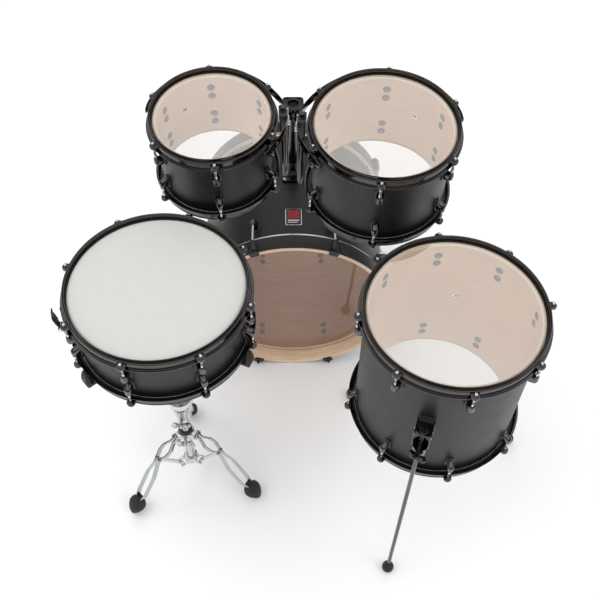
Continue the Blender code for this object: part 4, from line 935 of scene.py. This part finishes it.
def strainer():
    r = snare.radius
    at = snare.place @ radial(186.9)
    low = -0.112
    body = Shape()
    body.block((r - 0.0006, -0.0170, low), (r + 0.0080, 0.0170, -0.0500), 0.0030, 0.0012, 0, at)
    body.block((r + 0.0060, -0.0140, low + 0.002), (r + 0.0200, 0.0140, -0.0540), 0.0030, 0.0016, 0, at)
    body.block((r + 0.0180, -0.0125, low + 0.004), (r + 0.0260, -0.0085, low + 0.030), 0.0012, 0.0008, 0, at)
    body.block((r + 0.0180, 0.0085, low + 0.004), (r + 0.0260, 0.0125, low + 0.030), 0.0012, 0.0008, 0, at)
    body.block((r + 0.0060, -0.0115, low - 0.0060), (r + 0.0190, 0.0115, low + 0.0040), 0.0020, 0.0010, 0,
               at)
    for z in (-0.0560, low + 0.010):
        for y in (-0.0125, 0.0125):
            body.screw(at @ move(r + 0.0078, y * 1.12, z) @ Matrix.Rotation(math.radians(90), 4, "Y"),
                       0.0024, 0.0020, 1)
    for y in (-0.0060, 0.0060):
        body.screw(at @ move(r + 0.0188, y, low - 0.001) @ Matrix.Rotation(math.radians(90), 4, "Y"),
                   0.0026, 0.0026, 1)
    piece("strainer_cast", body, [DARK_CHROME, CHROME], snare.body, "strainer_body")

    lever = Shape()
    pivot = at @ move(r + 0.0326, 0, low + 0.010)
    lever.turned([(0.0048, -0.0100), (0.0055, -0.0092), (0.0055, 0.0092), (0.0048, 0.0100)],
                 pivot @ Matrix.Rotation(math.radians(90), 4, "X"), 1, 24)
    line = soften([(0.0, 0, 0.0), (0.0030, 0, 0.018), (0.0075, 0, 0.040), (0.0060, 0, 0.058)], 0.03, 5)
    outline = soften([(-0.0100, -0.0020), (0.0100, -0.0020), (0.0100, 0.0020), (-0.0100, 0.0020)], 0.0016,
                     4, True)
    count = len(line)
    scales = [0.78 + 0.24 * math.sin(math.pi * k / (count - 1)) for k in range(count)]
    scales[-1] = 0.62
    lever.sweep(line, outline, (1, 0, 0), 0, pivot, scales)
    piece("strainer_paddle", lever, [BLACK_PLASTIC, CHROME], "strainer_lever", "strainer_lever")

    knob = Shape()
    at_knob = at @ move(r + 0.0130, 0, -0.0500)
    rings = []
    for z, base, depth in ((0.0003, 0.0072, 0.0), (0.0012, 0.0082, 0.0005), (0.0110, 0.0082, 0.0005),
                           (0.0126, 0.0074, 0.0002),
                           (0.0138, 0.0050, 0.0)):
        rings.append([Vector(((base + depth * (k % 2)) * math.cos(math.tau * k / 48),
                              (base + depth * (k % 2)) * math.sin(math.tau * k / 48),
                              z)) for k in range(48)])
    knob.loft(rings, 0, at_knob)
    piece("strainer_knob_turned", knob, [DARK_CHROME], "strainer_knob", "strainer_knob")

    butt_at = snare.place @ radial(6.9)
    butt = Shape()
    butt.block((r - 0.0006, -0.0170, -0.108), (r + 0.0070, 0.0170, -0.072), 0.0040, 0.0014, 0, butt_at, 4)
    butt.block((r + 0.0050, -0.0120, -0.104), (r + 0.0140, 0.0120, -0.086), 0.0020, 0.0012, 0, butt_at)
    # The screws' cross slots take the near-black finish: painted shade in the slots.
    for y in (-0.0070, 0.0070):
        butt.screw(butt_at @ move(r + 0.0138, y, -0.095) @ Matrix.Rotation(math.radians(90), 4, "Y"),
                   0.0030, 0.0026, 1, 2)
        butt.screw(butt_at @ move(r + 0.0068, y * 1.9, -0.078) @ Matrix.Rotation(math.radians(90), 4, "Y"),
                   0.0024, 0.0020, 1)
    piece("butt_cast", butt, [DARK_CHROME, CHROME, PAINTED_SHADE_HOLE], snare.body, "butt_plate")

    # twenty coiled strands soldered to two end plates, and a strap at each end
    wires = Shape()
    bed = snare.place @ radial(6.9)
    under = -snare.depth - 0.0003
    long = r * 0.82
    for k in range(20):
        y = -0.0195 + 0.039 * k / 19
        line = []
        for j in range(97):
            t = j / 96
            line.append((-long * 0.93 + 1.86 * long * t, y, under - 0.0009))
        outline = circle(0.00072, 8)
        scales = [1.0 if j % 2 else 0.72 for j in range(97)]
        wires.sweep(line, outline, (0, 0, 1), 0, bed, scales)
    for sign in (-1, 1):
        x0, x1 = sorted((sign * long * 0.90, sign * long))
        wires.block((x0, -0.0210, under - 0.0018), (x1, 0.0210, under - 0.0004), 0.0015, 0.0003, 0, bed)
        turn_out = r + 0.0080
        path = [Vector((sign * (long - 0.004), 0, under - 0.0006)),
                Vector((sign * turn_out, 0, under - 0.0006)),
                Vector((sign * turn_out, 0, under + 0.0230))]
        strap_outline = box_outline(-0.0120, 0.0120, -0.0004, 0.0004, 0.0003, 1)
        side_line = soften(path, 0.003, 4)
        rings = []
        for j, p in enumerate(side_line):
            run = (side_line[min(j + 1, len(side_line) - 1)] - side_line[max(j - 1, 0)]).normalized()
            rise = Vector((0, 1, 0)).cross(run)
            rings.append([p + Vector((0, q.x, 0)) + rise * q.y for q in strap_outline])
        wires.loft(rings, 1, bed)
    piece("snare_wire_strands", wires, [WIRE_STEEL, STRAP], "snare_wires", "snare_wires")


strainer()


# ---------------------------------------------------------------- snare stand

def stand():
    ground = Matrix.Translation((snare.place.translation.x, snare.place.translation.y, 0))
    feet = [216.8 + 120 * k for k in range(3)]

    def cheeks(shape, height):
        for bearing in feet:
            for sign in (-1, 1):
                outline = soften([(0.012, -0.008), (0.038, -0.008), (0.038, 0.008), (0.012, 0.008)], 0.007,
                                 5, True)
                y0, y1 = sign * 0.0074, sign * 0.0102
                shape.loft([[Vector((p.x, y, height + p.y)) for p in outline] for y in (y0, y1)], 0,
                           ground @ radial(bearing))
                shape.turned([(0.0040, 0.0100), (0.0044, 0.0106), (0.0040, 0.0122), (0.0026, 0.0130)],
                             ground @ radial(bearing) @ move(0.030, 0, height)
                             @ Matrix.Rotation(math.radians(-90 * sign), 4, "X"), 0, 20)

    base = Shape()
    base.annulus([(0.0098, 0.0735), (0.0118, 0.0720), (0.0127, 0.0730), (0.0127, 0.3300), (0.0101, 0.3300),
                  (0.0101, 0.0900)],
                 ground, 0, None, 48)
    base.turned([(0.0160, 0.0835), (0.0182, 0.0850), (0.0187, 0.0870), (0.0187, 0.1030), (0.0182, 0.1050),
                 (0.0160, 0.1065)],
                ground, 0, 48)
    base.turned([(0.0060, 0.0680), (0.0100, 0.0690), (0.0110, 0.0740)], ground, 1, 32)
    neck = [(0.0101, 0.2980), (0.0160, 0.2980), (0.0172, 0.3000), (0.0176, 0.3120), (0.0184, 0.3240),
            (0.0208, 0.3380),
            (0.0244, 0.3560), (0.0282, 0.3760), (0.0312, 0.3900), (0.0322, 0.3970), (0.0318, 0.4040),
            (0.0300, 0.4090),
            (0.0270, 0.4100), (0.0150, 0.4101), (0.0110, 0.4098), (0.0101, 0.4085)]
    base.annulus(neck, ground, 0, None, 56)
    base.annulus([(0.0101, 0.409), (0.0136, 0.409), (0.0136, 0.4155), (0.0124, 0.4170), (0.0101, 0.4170)],
                 ground, 1, None, 40)
    cheeks(base, 0.095)
    piece("stand_base_tube_chrome", base, [CHROME, BLACK_PLASTIC], "snare_stand",
          "stand_base_tube", 40)

    hub = Shape()
    hub.annulus([(0.0134, 0.2245), (0.0190, 0.2240), (0.0205, 0.2255), (0.0205, 0.2445), (0.0190, 0.2460),
                 (0.0134, 0.2455)],
                ground, 0, None, 48)
    hub.annulus([(0.0129, 0.2450), (0.0165, 0.2450), (0.0165, 0.2520), (0.0156, 0.2530), (0.0129, 0.2530)],
                ground, 1, None, 40)
    hub.turned([(0.0062, 0.0120), (0.0072, 0.0135), (0.0072, 0.0200), (0.0064, 0.0208)],
               ground @ move(0, 0, 0.235) @ Matrix.Rotation(math.radians(90), 4, "X"), 0, 24)
    cheeks(hub, 0.235)
    piece("stand_leg_hub_chrome", hub, [CHROME, BLACK_PLASTIC], "stand_leg_hub", "stand_leg_hub",
          40)

    bolt = along(ground @ Vector((0, -0.0208, 0.235)), (0, -1, 0), (0, 0, 1))
    piece("stand_hub_bolt", wing_bolt(bolt, 0.014, 0.038, "wing"), [CHROME], "stand_hub_wing_bolt",
          "stand_hub_wing_bolt")
    bolt = along(ground @ Vector((0, -0.0200, 0.338)), (0, -1, 0), (0, 0, 1))
    piece("stand_height_bolt", wing_bolt(bolt, 0.018, 0.044, "wing"), [CHROME], "stand_height_wing_bolt",
          "stand_height_wing_bolt")

    start, cross, end = Vector((0.030, 0.235)), Vector((0.090, 0.190)), Vector((0.179, 0.032))
    stations = [(start.lerp(cross, t), w) for t, w in ((0.0, 0.0046), (0.20, 0.0046), (0.48, 0.0140), (0.72,
            0.0140), (1.0, 0.0056))]
    stations += [(cross.lerp(end, t), w) for t, w in ((0.10, 0.0056), (0.34, 0.0140), (0.74, 0.0140), (1.0,
            0.0056))]
    for k, bearing in enumerate(feet):
        at = ground @ radial(bearing)
        leg = Shape()
        for sign in (-1, 1):
            line = soften([Vector((p.x, sign * w, p.y)) for p, w in stations], 0.012, 4)
            rings = []
            for j, p in enumerate(line):
                run = (line[min(j + 1, len(line) - 1)] - line[max(j - 1, 0)]).normalized()
                rise = Vector((-run.z, 0, run.x)).normalized()
                side = rise.cross(run).normalized()
                outline = soften([(-0.0015, -0.0071), (0.0015, -0.0071), (0.0015, 0.0071),
                                  (-0.0015, 0.0071)], 0.0008, 3, True)
                rings.append([p + side * q.x + rise * q.y for q in outline])
            leg.loft(rings, 0, at)
        leg.turned([(0.0046, -0.0056), (0.0050, -0.0050), (0.0050, 0.0050), (0.0046, 0.0056)],
                   at @ move(0.030, 0, 0.235) @ Matrix.Rotation(math.radians(90), 4, "X"), 0, 24)
        leg.turned([(0.0030, -0.0108), (0.0044, -0.0096), (0.0044, -0.0072), (0.0034, -0.0068),
                    (0.0034, 0.0068),
                    (0.0044, 0.0072), (0.0044, 0.0096), (0.0030, 0.0108)],
                   at @ move(0.090, 0, 0.190) @ Matrix.Rotation(math.radians(90), 4, "X"), 0, 20)
        down = (end - cross).normalized()
        foot_at = at @ Matrix(((-down.y, 0, -down.x, 0.179), (0, 1, 0, 0), (down.x, 0, -down.y, 0.032),
                               (0, 0, 0, 1)))
        boot = [(-0.0330, 0.0040, 0.0050), (-0.0290, 0.0090, 0.0110), (-0.0200, 0.0152, 0.0170),
                (-0.0080, 0.0208, 0.0210),
                (0.0030, 0.0232, 0.0222), (0.0120, 0.0220, 0.0206), (0.0200, 0.0176, 0.0164),
                (0.0240, 0.0152, 0.0140),
                (0.0250, 0.0120, 0.0110)]
        rings = []
        for z, wide, deep in boot:
            ring = []
            for q in oval(wide * 2, deep * 2, 32, 2.6):
                p = Vector((q.y * 0.85, q.x, z))
                world = foot_at @ p
                world.z = max(world.z, 0.0002 + 0.00002 * (q.y + 0.02))
                ring.append(world)
            rings.append(ring)
        leg.loft(rings, 1)
        name = "stand_leg_%d" % (k + 1)
        piece(name + "_strips", leg, [STRIP_STEEL, RUBBER], name, name, 40)
        strut = Shape()
        low, high = Vector((0.030, 0, 0.095)), Vector((0.090, 0, 0.190))
        outline = soften([(-0.0045, -0.0033), (0.0045, -0.0033), (0.0045, 0.0033), (-0.0045, 0.0033)],
                         0.0012, 3, True)
        run = (high - low).normalized()
        rise = Vector((-run.z, 0, run.x))
        rings = []
        for t, s in ((-0.006, 0.55), (-0.004, 0.9), (0.0, 1.0), (0.02, 1.0),
                     ((high - low).length - 0.02, 1.0),
                     ((high - low).length, 1.0), ((high - low).length + 0.004, 0.9),
                     ((high - low).length + 0.006, 0.55)):
            p = low + run * t
            rings.append([p + rise * q.x * s + Vector((0, q.y, 0)) for q in outline])
        strut.loft(rings, 0, at)
        name = "stand_strut_%d" % (k + 1)
        piece(name + "_link", strut, [CHROME], name, name, 40)

    tube_low, tube_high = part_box("stand_upper_tube")
    upper = Shape().turned([(0.0080, tube_low.z), (0.0095, tube_low.z + 0.001),
                            (0.0095, tube_high.z - 0.004),
                            (0.0086, tube_high.z - 0.0015), (0.0050, tube_high.z)], ground, 0, 40)
    piece("stand_upper_chrome", upper, [CHROME], "stand_upper_tube", "stand_upper_tube")

    tilt = next(j for j in frame["joints"] if j["name"] == "basket_tilt")
    pivot_z = tilt["pos_m"][2]
    centre = ground @ move(0, 0, pivot_z)
    basket = Shape()
    basket.turned([(0.0050, -0.0134), (0.0120, -0.0070), (0.0200, 0.0020), (0.0220, 0.0060),
                   (0.0222, 0.0280), (0.0208, 0.0330),
                   (0.0166, 0.0430), (0.0150, 0.0442), (0.0060, 0.0448)], centre, 0, 48)
    for sign in (-1, 1):
        basket.turned([(0.0080, 0.0180), (0.0090, 0.0190), (0.0090, 0.0260), (0.0074, 0.0275)],
                      centre @ Matrix.Rotation(math.radians(90 * sign), 4, "Y"), 0, 28)
    bottom = snare.place.translation.z - snare.depth - 0.012
    seat = bottom - pivot_z - 0.0003
    r = snare.radius
    hoop_out = r + 0.0145 + 0.0008
    for bearing in (220.0, 336.0, 98.0):
        at = centre @ radial(bearing)
        line = soften([(0.006, 0, 0.026), (0.060, 0, 0.040), (r - 0.020, 0, seat - 0.014),
                       (r + 0.012, 0, seat - 0.008),
                       (hoop_out + 0.0050, 0, seat + 0.012)], 0.020, 6)
        basket.tube(line, 0.0052, 0, at, 24)
        # rubber grip: a sleeve that ends in a pointed wedge above the hoop's edge
        sleeve = [(r - 0.046, seat - 0.0150), (r - 0.010, seat - 0.0112), (hoop_out + 0.004, seat - 0.0062)]
        basket.sweep(soften([(x, 0, z) for x, z in sleeve], 0.02, 3), oval(0.0190, 0.0150, 28, 2.6),
                     (0, 1, 0), 1, at)
        wedge = []
        for z, wide, x0, x1 in ((-0.0140, 0.0180, r - 0.004, hoop_out + 0.0070),
                                (-0.0060, 0.0236, r + 0.000, hoop_out + 0.0096),
                                (0.0000, 0.0240, hoop_out - 0.0006, hoop_out + 0.0100),
                                (0.0120, 0.0226, hoop_out, hoop_out + 0.0088),
                                (0.0240, 0.0180, hoop_out, hoop_out + 0.0068),
                                (0.0330, 0.0120, hoop_out + 0.0002, hoop_out + 0.0046),
                                (0.0350, 0.0080, hoop_out + 0.0008, hoop_out + 0.0036)):
            outline = box_outline(x0, x1, -wide / 2, wide / 2, 0.0022, 3)
            wedge.append([Vector((p.x, p.y, seat + z)) for p in outline])
        basket.loft(wedge, 1, at)
    piece("stand_basket_chrome", basket, [CHROME, RUBBER], "stand_basket", "stand_basket", 40)


stand()


# ---------------------------------------------------------------- floor, light and camera

def stage():
    shape = Shape().block((-6, -6, -0.02), (6, 6, -0.0002), 0.5, 0.001)
    bm = bmesh.new()
    made = [bm.verts.new(p) for p in shape.points]
    for face in shape.faces:
        bm.faces.new([made[i] for i in face])
    bmesh.ops.recalc_face_normals(bm, faces=bm.faces)
    mesh = bpy.data.meshes.new("floor")
    bm.to_mesh(mesh)
    bm.free()
    mesh.materials.append(finish("white_floor", (0.93, 0.93, 0.93), 0.75, 0.0, 0.05, 2.0, 0.0, 0.0, 0.01))
    floor = bpy.data.objects.new("floor", mesh)
    bpy.context.scene.collection.objects.link(floor)


def softbox(name, place, target, size, power, colour=(1, 1, 1)):
    lamp = bpy.data.lights.new(name, "AREA")
    lamp.shape = "RECTANGLE"
    lamp.size, lamp.size_y = size
    lamp.energy = power
    lamp.color = colour
    made = bpy.data.objects.new(name, lamp)
    bpy.context.scene.collection.objects.link(made)
    made.location = place
    made.rotation_euler = (Vector(target) - Vector(place)).to_track_quat("-Z", "Y").to_euler()
    made.visible_glossy = False
    return made


def studio():
    world = bpy.data.worlds.new("studio")
    bpy.context.scene.world = world
    world.use_nodes = True
    tree = world.node_tree
    back = tree.nodes["Background"]
    path = tree.nodes.new("ShaderNodeLightPath")
    where = tree.nodes.new("ShaderNodeTexCoord")
    split = tree.nodes.new("ShaderNodeSeparateXYZ")
    tree.links.new(where.outputs["Generated"], split.inputs["Vector"])
    ramp = tree.nodes.new("ShaderNodeValToRGB")
    ramp.color_ramp.elements[0].position = 0.0
    ramp.color_ramp.elements[0].color = (0.10, 0.10, 0.10, 1)
    ramp.color_ramp.elements[1].position = 1.0
    ramp.color_ramp.elements[1].color = (0.95, 0.95, 0.95, 1)
    for position, level in ((0.28, 0.06), (0.46, 0.22), (0.62, 0.90)):
        step = ramp.color_ramp.elements.new(position)
        step.color = (level, level, level * 1.01, 1)
    tree.links.new(split.outputs["Z"], ramp.inputs["Fac"])
    seen = tree.nodes.new("ShaderNodeMix")
    seen.data_type = "RGBA"
    seen.inputs[6].default_value = (0.93, 0.94, 0.95, 1)
    tree.links.new(path.outputs["Is Glossy Ray"], seen.inputs["Factor"])
    tree.links.new(ramp.outputs["Color"], seen.inputs[7])
    mix = tree.nodes.new("ShaderNodeMix")
    mix.data_type = "RGBA"
    tree.links.new(path.outputs["Is Camera Ray"], mix.inputs["Factor"])
    tree.links.new(seen.outputs[2], mix.inputs[6])
    mix.inputs[7].default_value = (1.05, 1.05, 1.05, 1)
    tree.links.new(mix.outputs[2], back.inputs["Color"])
    back.inputs["Strength"].default_value = 1.0
    softbox("key", (-1.4, -0.4, 3.4), (0, 0, 0.4), (2.4, 2.4), 34)
    softbox("fill", (2.2, -1.6, 2.6), (0, 0, 0.4), (1.6, 1.6), 16)
    softbox("back", (0.2, 2.8, 3.0), (0, 0, 0.5), (3.0, 1.8), 22)


def camera():
    """View from in front and above, on the drummer's side."""
    yaw, pitch, roll = math.radians(1.8), math.radians(53.3), math.radians(0.98)
    forward = Vector((math.sin(yaw) * math.cos(pitch), math.cos(yaw) * math.cos(pitch), -math.sin(pitch)))
    right = Vector((math.cos(yaw), -math.sin(yaw), 0))
    up = right.cross(forward)
    across = right * math.cos(roll) + up * math.sin(roll)
    lift = up * math.cos(roll) - right * math.sin(roll)
    eye = bpy.data.cameras.new("camera")
    eye.lens, eye.sensor_width = 51.4, 36.0
    made = bpy.data.objects.new("camera", eye)
    bpy.context.scene.collection.objects.link(made)
    turn = Matrix((across, lift, -forward)).transposed().to_4x4()
    made.matrix_world = Matrix.Translation((-0.0545, -1.3203, 2.197)) @ turn
    bpy.context.scene.camera = made


stage()
studio()
camera()
bpy.context.scene.view_settings.view_transform = "Standard"

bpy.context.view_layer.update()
# the wider rear legs moved the middle of the box, so the camera moves with the drums
bpy.context.scene.camera.location.x -= 0.03264
